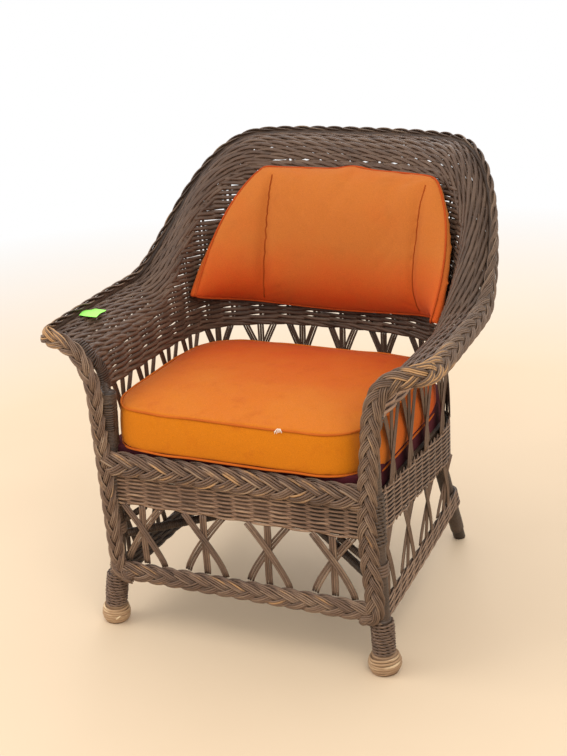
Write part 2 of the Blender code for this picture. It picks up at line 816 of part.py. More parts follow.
def make_side_lattice(side, tag, parent, material):
    """Staves between the bottom band and the skirt at one side."""
    def low(at):
        share = band_share(at)
        return np.array([side * side_band_x(share), at, band_top(share) + CLEARANCE])

    def high(at):
        return np.array([side * SEAT_HALF_WIDTH, at, skirt_bottom(at) - CLEARANCE])

    def facing(at):
        return np.array([float(side), 0.0, 0.0])

    reach = SIDE_SPREAD + STAVE_WIDTH
    first = behind_post() + reach
    last = SEAT_BEND + reach
    for number in range(SIDE_GROUPS):
        along = first + (last - first) * number / (SIDE_GROUPS - 1)
        lattice_group(
            f"side_staves_{tag}_{number + 1}", low, high, facing, along,
            SIDE_SPREAD, SIDE_SPREAD, parent, material,
        )


def rail_y():
    return FRONT_Y + SKIRT_THICKNESS / 2 + SKIRT_RELIEF + FRAME_ROD_RADIUS + CLEARANCE


def make_hoop(parent, material):
    """Bent rod inside the skirt, which carries the deck at the sides and the back."""
    offset = -(SKIRT_THICKNESS / 2 + SKIRT_RELIEF + FRAME_ROD_RADIUS + CLEARANCE)
    flat, _ = skirt_line(offset, rail_y() + FRAME_ROD_RADIUS + CLEARANCE)
    way = np.gradient(flat, axis=0)
    rings = []
    for point, direction in zip(flat, way):
        centre = (point[0], point[1], FRAME_ROD_HEIGHT)
        rings.append(ring_across(centre, (*direction, 0), FRAME_ROD_RADIUS, HOOP_SIDES))
    return loft("seat_hoop", rings, material, parent)


def make_front_rail(parent, material):
    half = inner_post_edge(FRAME_ROD_HEIGHT, CLEARANCE)
    rings = []
    for x in (-half, half):
        rings.append(ring_across((x, rail_y(), FRAME_ROD_HEIGHT), (1, 0, 0), FRAME_ROD_RADIUS, 8))
    return loft("front_rail", rings, material, parent)


def make_deck(parent, material):
    """Cloth-covered deck that lies on the rail and the hoop."""
    offset = -(SKIRT_THICKNESS / 2 + SKIRT_RELIEF + CLEARANCE)
    flat, _ = skirt_line(offset, behind_post())
    front = FRONT_Y + SKIRT_THICKNESS / 2 + CLEARANCE
    notch = behind_post()
    bottom = FRAME_ROD_HEIGHT + FRAME_ROD_RADIUS + CLEARANCE
    inside = inner_post_edge(bottom + DECK_THICKNESS, CLEARANCE)
    outline = [(-inside, front), (-inside, notch), *flat, (inside, notch), (inside, front)]
    rings = []
    for height in (bottom, bottom + DECK_THICKNESS):
        rings.append(np.array([(x, y, height) for x, y in outline]))
    return loft("seat_deck", rings, material, parent)


def make_bar(name, start, end, start_gap, end_gap, radius, parent, material):
    """A round bar between two points, cut back by a gap at each end."""
    start = np.array(start, float)
    end = np.array(end, float)
    way = (end - start) / np.linalg.norm(end - start)
    rings = []
    for point in (start + way * start_gap, end - way * end_gap):
        rings.append(ring_across(point, way, radius, 10))
    return loft(name, rings, material, parent)


def make_cross_bars(parent, material):
    """Two bars from the front posts to the opposite rear legs. One lies on the other."""
    drop = 2 * BAR_RADIUS + CLEARANCE
    for side, tag, height in ((-1, "upper", BAR_HEIGHT), (1, "lower", BAR_HEIGHT - drop)):
        start = (post_centre(height, side), SEAT_FRONT, height)
        end = (-side * REAR_LEG_X, rear_leg_y(height), height)
        way = np.array(end) - np.array(start)
        way /= np.linalg.norm(way)
        rake = REAR_RAKE * BAR_RADIUS * way[1]
        long_radius = REAR_LEG_RADIUS * math.hypot(1, REAR_RAKE)
        reach = math.hypot(way[0] * REAR_LEG_RADIUS, way[1] * long_radius)
        make_bar(
            f"cross_bar_{tag}", start, end, POST_RADIUS + CLEARANCE, reach + rake + CLEARANCE,
            BAR_RADIUS, parent, material,
        )


def make_corner_brace(side, tag, parent, material):
    """Short wrapped strut from a front post up to the underside of the front skirt."""
    top = SKIRT_BOTTOM - CLEARANCE
    low = top - CORNER_BRACE_DROP
    start_x = post_centre(low, 1) - POST_RADIUS - CLEARANCE
    tilt = CORNER_BRACE_DROP / CORNER_BRACE_REACH
    half_height = CORNER_BRACE_RADIUS * math.hypot(1, tilt)
    y = FRONT_Y + SKIRT_THICKNESS / 2 + SKIRT_RELIEF + STAVE_THICKNESS + CORNER_BRACE_RADIUS
    rings = []
    for x, height in ((start_x, low), (start_x - CORNER_BRACE_REACH, top - half_height)):
        ring = level_ring((0, 0, 0), CORNER_BRACE_RADIUS, half_height, 8)
        rings.append(np.stack([np.full(8, side * x), y + ring[:, 0], height + ring[:, 1]], -1))
    return loft("corner_brace_" + tag, rings, material, parent)


def make_seat_cushion(parent, material):
    """Box cushion with rounded corners, pulled-in seams and a crowned top."""
    turn = (np.arange(SEAT_CUSHION_POINTS) + 0.5) * 2 * math.pi / SEAT_CUSHION_POINTS
    centre_y = (SEAT_CUSHION_FRONT + SEAT_CUSHION_BACK) / 2
    reach_y = (SEAT_CUSHION_BACK - SEAT_CUSHION_FRONT) / 2
    power = 2 / SEAT_CUSHION_CORNER
    unit_x = np.sign(np.cos(turn)) * np.abs(np.cos(turn)) ** power
    unit_y = np.sign(np.sin(turn)) * np.abs(np.sin(turn)) ** power
    bottom = FRAME_ROD_HEIGHT + FRAME_ROD_RADIUS + 2 * CLEARANCE + DECK_THICKNESS
    rings = []
    for share, side_share, crown_share in SEAT_CUSHION_PROFILE:
        height = SEAT_CUSHION_SIDE_HEIGHT * side_share + SEAT_CUSHION_CROWN * crown_share
        x = unit_x * SEAT_CUSHION_HALF_WIDTH * share
        y = centre_y + unit_y * reach_y * share
        rings.append(np.stack([x, y, np.full(SEAT_CUSHION_POINTS, bottom + height)], -1))
    return loft("seat_cushion", rings, material, parent)


def make_back_cushion(parent, material):
    """Cushion with a wing at each side, laid on the inner face of the wall."""
    u = np.linspace(-1, 1, BACK_CUSHION_COLUMNS + 1)[:, None]
    v = np.linspace(0, 1, BACK_CUSHION_LEVELS + 1)[None, :]
    width = blend(BACK_CUSHION_WING_HALF_SHARE, BACK_CUSHION_TOP_HALF_SHARE, v)
    shares = 0.5 + u * width
    bottom = BACK_CUSHION_BOTTOM_SHARE + BACK_CUSHION_WING_SHARE * u ** 2
    heights = bottom + (BACK_CUSHION_TOP_SHARE - bottom) * v
    rest = np.stack(
        [
            [wall_middle([shares[i, j]], [heights[i, j]])[0, 0] for j in range(shares.shape[1])]
            for i in range(shares.shape[0])
        ]
    )
    inwards = -surface_out(rest)
    seat = WALL_THICKNESS / 2 + WALL_RELIEF + BACK_CUSHION_EASE
    full = (1 - u ** BACK_CUSHION_ROUNDING) * (1 - (2 * v - 1) ** BACK_CUSHION_ROUNDING)
    thick = BACK_CUSHION_EDGE + (BACK_CUSHION_THICKNESS - BACK_CUSHION_EDGE) * full
    front = rest + inwards * (seat + thick)[..., None]
    back = rest + inwards * seat
    return sheet("back_cushion", back, front, material, parent)


def main():
    clear_scene()
    chair = bpy.data.objects.new("armchair", None)
    bpy.context.scene.collection.objects.link(chair)

    reed = paint("brown_reed", (0.105, 0.072, 0.052), 0.62)
    plait = paint("brown_reed_plait", (0.125, 0.085, 0.058), 0.58)
    pole = paint("wrapped_pole", (0.070, 0.047, 0.034), 0.60)
    bare = paint("bare_reed", (0.40, 0.27, 0.15), 0.70)
    rod = paint("bent_rod", (0.16, 0.10, 0.06), 0.65)
    deck_cloth = paint("maroon_canvas", (0.085, 0.016, 0.020), 0.95)
    cover = paint("orange_cloth", (0.72, 0.20, 0.025), 0.90)

    make_wall(chair, reed)
    make_rim(chair, plait)
    make_round_skirt(chair, reed)
    make_front_skirt(chair, reed)
    make_hoop(chair, rod)
    make_front_rail(chair, rod)
    make_deck(chair, deck_cloth)
    make_level_braid(
        "seat_plait", SEAT_BRAID_BOTTOM, SEAT_BRAID_TOP, SEAT_BRAID_DEPTH, WIDE_BRAID_PITCH, chair, plait
    )
    make_level_braid(
        "bottom_plait", BOTTOM_BRAID_BOTTOM, BOTTOM_BRAID_TOP, BOTTOM_BRAID_DEPTH, WIDE_BRAID_PITCH,
        chair, plait,
    )
    make_cross_bars(chair, pole)
    for side, tag in ((-1, "left"), (1, "right")):
        make_post(side, tag, chair, pole)
        make_foot(side, tag, chair, bare)
        make_leg_wrap(side, tag, chair, pole)
        make_rear_leg(side, tag, chair, pole)
        make_post_braid(side, tag, chair, plait)
        make_arm_braid(side, tag, chair, plait)
        make_side_band(side, tag, chair, reed)
        make_side_lattice(side, tag, chair, reed)
        make_corner_brace(side, tag, chair, pole)
    make_upper_lattice(chair, reed)
    make_front_lattice(chair, reed)
    make_seat_cushion(chair, cover)
    make_back_cushion(chair, cover)

    # The origin is on the floor under the middle of the chair's own box.
    reach = [vertex.co.y for obj in chair.children for vertex in obj.data.vertices]
    chair.location = (0.0, -(min(reach) + max(reach)) / 2, 0.0)


main()
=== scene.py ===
"""Looks of the old reed armchair: woven reed, plaits, wrapped poles and two worn orange cushions.

Every woven piece is a batch of reeds. A reed is a path of points with an outward direction at each, and its
skin is an ellipse carried along that path. Rows of weave are reeds that wind round each other or go over and
under the stakes, and plaits are five bundles of reeds that cross. All sizes are in metres.
"""

from __future__ import annotations

import logging
import math
from dataclasses import dataclass, field
from enum import Enum
from typing import Callable, Sequence

import bmesh
import bpy
import numpy as np
from mathutils import Matrix, Vector

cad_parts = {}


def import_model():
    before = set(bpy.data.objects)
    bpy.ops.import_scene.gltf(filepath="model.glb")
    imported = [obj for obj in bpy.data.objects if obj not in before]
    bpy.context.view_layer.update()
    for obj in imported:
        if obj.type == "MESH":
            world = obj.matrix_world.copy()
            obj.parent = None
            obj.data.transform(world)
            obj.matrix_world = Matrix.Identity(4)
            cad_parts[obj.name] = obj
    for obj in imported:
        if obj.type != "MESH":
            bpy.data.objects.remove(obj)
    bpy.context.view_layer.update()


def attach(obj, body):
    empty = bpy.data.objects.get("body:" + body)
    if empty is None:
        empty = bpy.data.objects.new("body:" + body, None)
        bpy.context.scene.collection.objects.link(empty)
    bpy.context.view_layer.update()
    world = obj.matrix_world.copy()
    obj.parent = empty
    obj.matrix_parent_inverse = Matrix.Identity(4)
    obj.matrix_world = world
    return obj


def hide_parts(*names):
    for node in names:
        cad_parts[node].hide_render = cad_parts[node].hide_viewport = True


LOG = logging.getLogger("armchair")

ORIGIN = (0.0, -0.083391, 0.0)
"""The chair's own drawing has its front posts at y = -0.270; this shift centres its box on the origin."""

CLEARANCE = 0.0003
FULL_TURN = 2 * math.pi
FRONTWARDS = (0.0, -1.0, 0.0)

Array = np.ndarray
Rng = np.random.Generator
Socket = bpy.types.NodeSocket
Object = bpy.types.Object
Colour = tuple[float, float, float]


class Side(Enum):
    """The two sides of the chair, as the picture shows them, with the sign of their x."""

    LEFT = -1
    RIGHT = 1

    @property
    def tag(self) -> str:
        """Ending of the node names of this side."""
        return self.name.lower()


def unit(vectors: Array) -> Array:
    """Vectors of length one along the last axis."""
    length = np.linalg.norm(vectors, axis=-1, keepdims=True)
    return vectors / np.maximum(length, 1e-12)


def smooth_step(values: Array) -> Array:
    """0 below 0, 1 above 1, and a soft climb between."""
    share = np.clip(values, 0, 1)
    return share * share * (3 - 2 * share)


def blend(first: float, second: float, share: Array) -> Array:
    """A value between two others."""
    return first + (second - first) * share


def tangents(path: Array) -> Array:
    """Unit directions along paths shaped (..., points, 3)."""
    return unit(np.gradient(path, axis=-2))


def square_to(vectors: Array, way: Array) -> Array:
    """Unit vectors with what runs along the given directions taken out."""
    return unit(vectors - way * np.sum(vectors * way, -1, keepdims=True))


def spots(x: object, y: object, z: object) -> Array:
    """Points from their coordinates, each a number or an array of one common shape."""
    return np.stack(np.broadcast_arrays(x, y, z), -1).astype(float)


def straight(start: Array, end: Array, count: int) -> Array:
    """Points at equal steps from one point to another."""
    return start + (end - start) * np.linspace(0, 1, count)[:, None]


def smoothed(values: Array, passes: int) -> Array:
    """Values along a path with both ends held, each drawn halfway to its two neighbours so many times."""
    for _ in range(passes):
        values[1:-1] = (values[:-2] + 2 * values[1:-1] + values[2:]) / 4
    return values


def wander(rng: Rng, count: int, steps: int, turns: float) -> Array:
    """Slow unevenness along each of several reeds: a sum of five sine waves of random length and phase.

    Args:
        rng: source of random numbers.
        count: number of reeds.
        steps: number of points along each.
        turns: most waves along a reed.

    Returns:
        Values around 0 shaped (count, steps), of spread about 0.7.
    """
    at = np.linspace(0, 1, steps)[None, :]
    total = np.zeros((count, steps))
    for _ in range(5):
        rate = rng.uniform(0.5, turns, (count, 1))
        phase = rng.uniform(0, FULL_TURN, (count, 1))
        total += np.sin(FULL_TURN * rate * at + phase)
    return total / math.sqrt(5)


def resample(path: Array, count: int, *others: Array) -> list[Array]:
    """A path and values along it, read again at equal steps of its length.

    Args:
        path: points shaped (n, 3).
        count: number of points wanted.
        others: further arrays shaped (n, 3) that go with the points.

    Returns:
        The path and the other arrays, each shaped (count, 3).
    """
    length = path_length(path)
    at = np.linspace(0, length[-1], count)
    found = []
    for values in (path, *others):
        found.append(np.stack([np.interp(at, length, values[:, k]) for k in range(3)], -1))
    return found


def path_length(path: Array) -> Array:
    """Distance along a path at each of its points."""
    step = np.linalg.norm(np.diff(path, axis=0), axis=-1)
    return np.concatenate([[0.0], np.cumsum(step)])


@dataclass
class Reeds:
    """Reeds of equal point count, with their section and finish at each point.

    points and outward are shaped (reeds, points, 3), and everything else is broadcast to (reeds, points).
    """

    points: Array
    outward: Array
    half_width: Array | float
    half_depth: Array | float
    tone: Array | float = 0.5
    wear: Array | float = 0.0
    sides: int = 6
    end: float = 0.55
    closed: bool = False

    def cut(self, first: int, last: int) -> Reeds:
        """The same reeds between two of their points, with square ends.

        Args:
            first: number of the first point kept.
            last: number of the first point left out again.

        Returns:
            The shorter reeds.
        """
        shape = self.points.shape[:2]
        parts = {}
        for name in ("half_width", "half_depth", "tone", "wear"):
            parts[name] = np.broadcast_to(np.asarray(getattr(self, name), float), shape)[:, first:last]
        points, outward = self.points[:, first:last], self.outward[:, first:last]
        return Reeds(points, outward, sides=self.sides, end=1.0, **parts)

    def corners(self) -> Array:
        """Skin points: an ellipse square to the path, width across and depth outwards, less at the ends."""
        along = tangents(self.points)
        if self.closed:
            along = unit(np.roll(self.points, -1, axis=1) - np.roll(self.points, 1, axis=1))
        out = square_to(self.outward, along)
        across = np.cross(along, out)
        shape = self.points.shape[:2]
        width = np.broadcast_to(np.asarray(self.half_width, float), shape).copy()
        depth = np.broadcast_to(np.asarray(self.half_depth, float), shape).copy()
        if not self.closed:
            for values in (width, depth):
                values[:, 0] *= self.end
                values[:, -1] *= self.end
        turn = (np.arange(self.sides) + 0.5) * FULL_TURN / self.sides
        wide = across[:, :, None] * (width[..., None] * np.cos(turn))[..., None]
        deep = out[:, :, None] * (depth[..., None] * np.sin(turn))[..., None]
        return self.points[:, :, None] + wide + deep


class PieceMesh:
    """Collects batches of reeds and grids, and makes one object of them."""

    def __init__(self) -> None:
        """Starts with nothing in it."""
        self.points: list[Array] = []
        self.loops: list[Array] = []
        self.sizes: list[Array] = []
        self.uvs: list[Array] = []
        self.tones: list[Array] = []
        self.wears: list[Array] = []
        self.count = 0

    def _store(
        self, points: Array, faces: Array, uvs: Array, tone: Array, wear: Array
    ) -> None:
        """Adds faces of one size.

        Args:
            points: the points, of any shape that ends in 3.
            faces: corners of each face, as numbers within points.
            uvs: a UV for each corner of each face.
            tone: shade of each point.
            wear: wear of each point.
        """
        self.points.append(points.reshape(-1, 3))
        self.loops.append((faces + self.count).ravel())
        self.sizes.append(np.full(len(faces), faces.shape[1]))
        self.uvs.append(uvs.reshape(-1, 2))
        self.tones.append(tone.ravel())
        self.wears.append(wear.ravel())
        self.count += points.reshape(-1, 3).shape[0]

    def add_reeds(self, reeds: Reeds) -> None:
        """Adds the skins of a batch: quads round each path, and one flat face over each end.

        The UV is the distance along the reed in metres and the share of the way round it.

        Args:
            reeds: the batch.
        """
        corners = reeds.corners()
        many, steps, sides = corners.shape[:3]
        number = np.arange(many * steps * sides).reshape(many, steps, sides)
        following = np.roll(number, -1, axis=1) if reeds.closed else number[:, 1:]
        here = number if reeds.closed else number[:, :-1]
        turned = np.roll(here, -1, axis=2)
        turned_next = np.roll(following, -1, axis=2)
        faces = np.stack([here, following, turned_next, turned], -1).reshape(-1, 4)

        step = np.linalg.norm(np.diff(reeds.points, axis=1), axis=-1)
        length = np.concatenate([np.zeros((many, 1)), np.cumsum(step, axis=1)], axis=1)
        after = length + (step.mean() if reeds.closed else 0.0)
        start = length if reeds.closed else length[:, :-1]
        stop = after if reeds.closed else length[:, 1:]
        around = np.arange(sides) / sides
        shape = (*start.shape, sides)
        u0 = np.broadcast_to(start[..., None], shape)
        u1 = np.broadcast_to(stop[..., None], shape)
        v0 = np.broadcast_to(around, shape)
        v1 = v0 + 1 / sides
        uvs = np.stack([u0, v0, u1, v0, u1, v1, u0, v1], -1).reshape(-1, 4, 2)

        shades = []
        for value in (reeds.tone, reeds.wear):
            by_point = np.broadcast_to(np.asarray(value, float), (many, steps))
            shades.append(np.broadcast_to(by_point[..., None], corners.shape[:3]))
        self._store(corners, faces, uvs, *shades)
        if not reeds.closed:
            base = self.count - many * steps * sides
            caps = np.concatenate([number[:, 0, :], number[:, -1, ::-1]])
            self.loops.append((caps + base).ravel())
            self.sizes.append(np.full(len(caps), sides))
            self.uvs.append(np.zeros((caps.size, 2)))

    def add_grid(
        self, grid: Array, wrap: bool = False, tone: float = 0.5, wear: float = 0.0
    ) -> None:
        """Adds a surface from a grid of points shaped (rows, columns, 3), with a face between each four.

        Args:
            grid: the points.
            wrap: whether the columns close into rings.
            tone: shade of the surface.
            wear: wear of the surface.
        """
        rows, columns = grid.shape[:2]
        number = np.arange(rows * columns).reshape(rows, columns)
        ahead = np.roll(number, -1, axis=1)
        if not wrap:
            number, ahead = number[:, :-1], ahead[:, :-1]
        faces = np.stack([number[:-1], number[1:], ahead[1:], ahead[:-1]], -1).reshape(-1, 4)
        flat = grid.reshape(-1, 3)
        across = np.linalg.norm(np.diff(grid, axis=1), axis=-1).mean()
        upward = np.linalg.norm(np.diff(grid, axis=0), axis=-1).mean()
        i, j = np.meshgrid(np.arange(number.shape[0] - 1), np.arange(number.shape[1]), indexing="ij")
        uvs = np.stack([i, j, i + 1, j, i + 1, j + 1, i, j + 1], -1).reshape(-1, 4, 2).astype(float)
        uvs *= (upward, across)
        self._store(flat, faces, uvs, np.full(len(flat), tone), np.full(len(flat), wear))

    def add_caps(self, rings: Array) -> None:
        """Adds one flat face over each ring of points.

        Args:
            rings: the points in the order of each face's corners, shaped (rings, points, 3).
        """
        many, around = rings.shape[:2]
        number = np.arange(many * around).reshape(many, around)
        flat = np.full(many * around, 0.5)
        self._store(rings, number, np.zeros((many, around, 2)), flat, flat * 0)

    def make(self, name: str, material: bpy.types.Material) -> Object:
        """The object, smooth shaded, with its UV map and its tone and wear as attributes.

        Args:
            name: name of the piece.
            material: its finish.

        Returns:
            The object, which stands at the origin.
        """
        mesh = bpy.data.meshes.new(name)
        points = np.concatenate(self.points) + ORIGIN
        loops = np.concatenate(self.loops)
        sizes = np.concatenate(self.sizes)
        mesh.vertices.add(len(points))
        mesh.vertices.foreach_set("co", points.astype(np.float32).ravel())
        mesh.loops.add(len(loops))
        mesh.loops.foreach_set("vertex_index", loops.astype(np.int32))
        mesh.polygons.add(len(sizes))
        starts = np.concatenate([[0], np.cumsum(sizes)[:-1]])
        mesh.polygons.foreach_set("loop_start", starts.astype(np.int32))
        mesh.polygons.foreach_set("use_smooth", np.ones(len(sizes), bool))
        uv = mesh.uv_layers.new(name="reed")
        uv.data.foreach_set("uv", np.concatenate(self.uvs).astype(np.float32).ravel())
        for label, parts in (("tone", self.tones), ("wear", self.wears)):
            values = mesh.attributes.new(label, "FLOAT", "POINT")
            values.data.foreach_set("value", np.concatenate(parts).astype(np.float32))
        mesh.update(calc_edges=True)
        mesh.materials.append(material)
        obj = bpy.data.objects.new(name, mesh)
        bpy.context.scene.collection.objects.link(obj)
        return obj


def dress(obj: Object, slot: str, *nodes: str) -> Object:
    """Fixes a piece to the chair, and hides the nodes of the frame that it stands for.

    Args:
        obj: the piece.
        slot: name of the finish slot; not used.
        nodes: nodes of the frame that it replaces.

    Returns:
        The same piece.
    """
    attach(obj, "root")
    if nodes:
        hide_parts(*nodes)
    LOG.info("%s: %d faces", obj.name, len(obj.data.polygons))
    return obj


def weld_outwards(obj: Object) -> None:
    """Merges the doubled points of a closed shape and turns its faces outwards."""
    work = bmesh.new()
    work.from_mesh(obj.data)
    bmesh.ops.remove_doubles(work, verts=work.verts, dist=1e-6)
    bmesh.ops.recalc_face_normals(work, faces=work.faces)
    work.to_mesh(obj.data)
    work.free()


class Graph:
    """The nodes of one material or of the world, under construction."""

    def __init__(self, owner: bpy.types.Material | bpy.types.World) -> None:
        """Switches the owner's nodes on.

        Args:
            owner: the material, or the world.
        """
        self.owner = owner
        owner.use_nodes = True
        self.tree = owner.node_tree
        self.shader = self.tree.nodes.get("Principled BSDF")

    def put(self, socket: Socket, value: object) -> None:
        """Links or sets one socket."""
        if isinstance(value, Socket):
            self.tree.links.new(value, socket)
        else:
            socket.default_value = value

    def add(self, kind: str, inputs: dict | None = None, **settings: object) -> bpy.types.Node:
        """A new node.

        Args:
            kind: its type.
            inputs: what goes into its sockets, by their name or number.
            settings: its other settings.

        Returns:
            The node.
        """
        node = self.tree.nodes.new(kind)
        for key, value in settings.items():
            setattr(node, key, value)
        for key, value in (inputs or {}).items():
            self.put(node.inputs[key], value)
        return node

    def math(self, operation: str, *values: object) -> Socket:
        """One sum on numbers."""
        return self.add("ShaderNodeMath", dict(enumerate(values)), operation=operation).outputs[0]

    def times(self, first: object, second: object) -> Socket:
        """A product of two numbers."""
        return self.math("MULTIPLY", first, second)

    def plus(self, first: object, second: object) -> Socket:
        """A sum of two numbers."""
        return self.math("ADD", first, second)

    def spread(
        self, value: Socket, low: float, high: float, to_low: float = 0.0, to_high: float = 1.0
    ) -> Socket:
        """A number moved from one range to another and held inside it."""
        inputs = {0: value, 1: low, 2: high, 3: to_low, 4: to_high}
        return self.add("ShaderNodeMapRange", inputs).outputs[0]

    def mix(self, factor: object, first: object, second: object) -> Socket:
        """A mix of two colours, each a socket or red, green and blue.

        Args:
            factor: share of the second colour.
            first: colour at 0.
            second: colour at 1.

        Returns:
            The mixed colour.
        """
        node = self.add("ShaderNodeMix", None, data_type="RGBA")
        for number, value in ((0, factor), (6, first), (7, second)):
            self.put(node.inputs[number], (*value, 1.0) if isinstance(value, tuple) else value)
        return node.outputs[2]

    def ramp(self, value: Socket, stops: Sequence[tuple[float, tuple]]) -> Socket:
        """A colour read from stops.

        Args:
            value: place on the ramp.
            stops: place and colour of each stop, from the lowest.

        Returns:
            The colour.
        """
        node = self.add("ShaderNodeValToRGB", {0: value})
        elements = node.color_ramp.elements
        elements[0].position, elements[0].color = stops[0][0], (*stops[0][1], 1.0)
        elements[1].position, elements[1].color = stops[-1][0], (*stops[-1][1], 1.0)
        for place, colour in stops[1:-1]:
            elements.new(place).color = (*colour, 1.0)
        return node.outputs[0]

    def object_place(self) -> Socket:
        """The point on the piece, in metres."""
        return self.add("ShaderNodeTexCoord").outputs["Object"]

    def parts(self, vector: Socket) -> list[Socket]:
        """The three numbers of a vector."""
        return list(self.add("ShaderNodeSeparateXYZ", {0: vector}).outputs)

    def vector(self, x: object, y: object, z: object) -> Socket:
        """A vector from three numbers."""
        return self.add("ShaderNodeCombineXYZ", {0: x, 1: y, 2: z}).outputs[0]

    def noise(
        self, vector: Socket, scale: float, detail: float = 3.0, rough: float = 0.5
    ) -> Socket:
        """Cloudy noise from 0 to 1."""
        inputs = {"Vector": vector, "Scale": scale, "Detail": detail, "Roughness": rough}
        return self.add("ShaderNodeTexNoise", inputs).outputs["Fac"]

    def attribute(self, name: str) -> Socket:
        """A number stored on the mesh."""
        return self.add("ShaderNodeAttribute", None, attribute_name=name).outputs["Fac"]

    def bump(
        self, height: Socket, strength: float, distance: float, before: object = None
    ) -> Socket:
        """A surface direction bent by a height.

        Args:
            height: the height, from 0 to 1.
            strength: how strongly it bends.
            distance: what a height of 1 stands for, in metres.
            before: a direction that is bent already.

        Returns:
            The direction.
        """
        inputs = {"Height": height, "Strength": strength, "Distance": distance}
        if before is not None:
            inputs["Normal"] = before
        return self.add("ShaderNodeBump", inputs).outputs[0]


def rgb(red: float, green: float, blue: float) -> Colour:
    """A screen colour from 0 to 255 as linear light: the 2.4 power above the toe of the sRGB curve."""
    shares = (red / 255, green / 255, blue / 255)
    return tuple(((c + 0.055) / 1.055) ** 2.4 if c > 0.04045 else c / 12.92 for c in shares)


def new_graph(name: str) -> Graph:
    """The nodes of a new material."""
    return Graph(bpy.data.materials.new(name))


def darker(colour: Colour, share: float) -> Colour:
    """A colour with all its light taken down, or up, to a share."""
    return tuple(share * c for c in colour)


@dataclass(frozen=True)
class ReedFinish:
    """Stained and varnished reed, with streaks along it, fine ridges of split reed, painted shade in its
    grooves and in the gaps beside it, and worn crowns.

    shades are the dark, middle and light stain, and the bare reed under it.
    """

    name: str
    shades: tuple[Colour, Colour, Colour, Colour]
    ridges: int = 3
    roughness: float = 0.46
    wear_bias: float = 0.0
    streak_rate: float = 28.0
    bleached: Colour = rgb(146, 122, 100)
    relief_depth: float = 0.0012

    def material(self) -> bpy.types.Material:
        """The node material. Shade comes from each reed's tone, streaks, a greyer brown towards the chair's
        right side, painted shade in grooves and gaps, and the wear attribute.
        """
        g = new_graph(self.name)
        dark, middle, light, worn = self.shades
        along, around, _ = g.parts(g.add("ShaderNodeUVMap", None, uv_map="reed").outputs[0])
        tone = g.attribute("tone")
        place = g.object_place()
        x, _, _ = g.parts(place)

        streak_at = g.vector(g.times(along, self.streak_rate), g.times(around, 9.0), g.times(tone, 37.0))
        streak = g.noise(streak_at, 1.0, 4.0, 0.65)
        mottle = g.noise(place, 55.0, 3.0, 0.6)
        cloud = g.noise(place, 5.0, 2.0, 0.5)
        ridge_turn = g.times(around, FULL_TURN * 2 * self.ridges)
        ridge = g.spread(g.math("COSINE", ridge_turn), -1.0, 1.0)

        shade = g.plus(g.times(tone, 0.62), g.times(g.spread(streak, 0.3, 0.7), 0.26))
        shade = g.plus(shade, g.spread(cloud, 0.35, 0.65, -0.07, 0.07))
        shade = g.plus(shade, g.spread(mottle, 0.35, 0.65, -0.05, 0.05))
        stained = g.ramp(shade, ((0.12, dark), (0.48, middle), (0.92, light)))
        # Towards the chair's right side the stain is mixed into a greyer brown.
        grey = g.times(g.spread(x, 0.15, 0.42), 0.38)
        stained = g.mix(grey, stained, self.bleached)
        # Painted shade darkens the grooves between the ridges of split reed.
        in_groove = g.times(g.spread(ridge, 0.80, 1.0), 0.55)
        # Painted shade darkens the flanks of each reed towards the gaps beside it, and its crown keeps its
        # colour.
        turn = g.times(g.plus(around, 0.08), FULL_TURN)
        in_gap = g.spread(g.math("SINE", turn), -0.1, 0.85, 0.80, 0.0)
        shadowed = g.math("MAXIMUM", in_groove, in_gap)
        # Where there is painted shade, the stain is mixed towards a deep brown.
        stained = g.mix(shadowed, stained, darker(dark, 0.30))

        patch = g.noise(place, 16.0, 3.0, 0.6)
        rubbed = g.plus(g.times(g.attribute("wear"), 1.25), self.wear_bias)
        rubbed = g.plus(rubbed, g.spread(patch, 0.3, 0.75, -0.28, 0.16))
        rubbed = g.plus(rubbed, g.spread(streak, 0.3, 0.7, -0.16, 0.16))
        bare = g.times(g.spread(rubbed, 0.42, 0.80), g.math("SUBTRACT", 1.0, g.times(shadowed, 0.8)))
        g.put(g.shader.inputs["Base Color"], g.mix(bare, stained, worn))

        rough = g.spread(streak, 0.25, 0.75, self.roughness - 0.08, self.roughness + 0.12)
        g.put(g.shader.inputs["Roughness"], g.plus(rough, g.times(bare, 0.15)))
        g.shader.inputs["Specular IOR Level"].default_value = 0.35
        relief = g.math("SUBTRACT", g.times(streak, 0.35), in_groove)
        g.put(g.shader.inputs["Normal"], g.bump(relief, 0.55, self.relief_depth))
        return g.owner


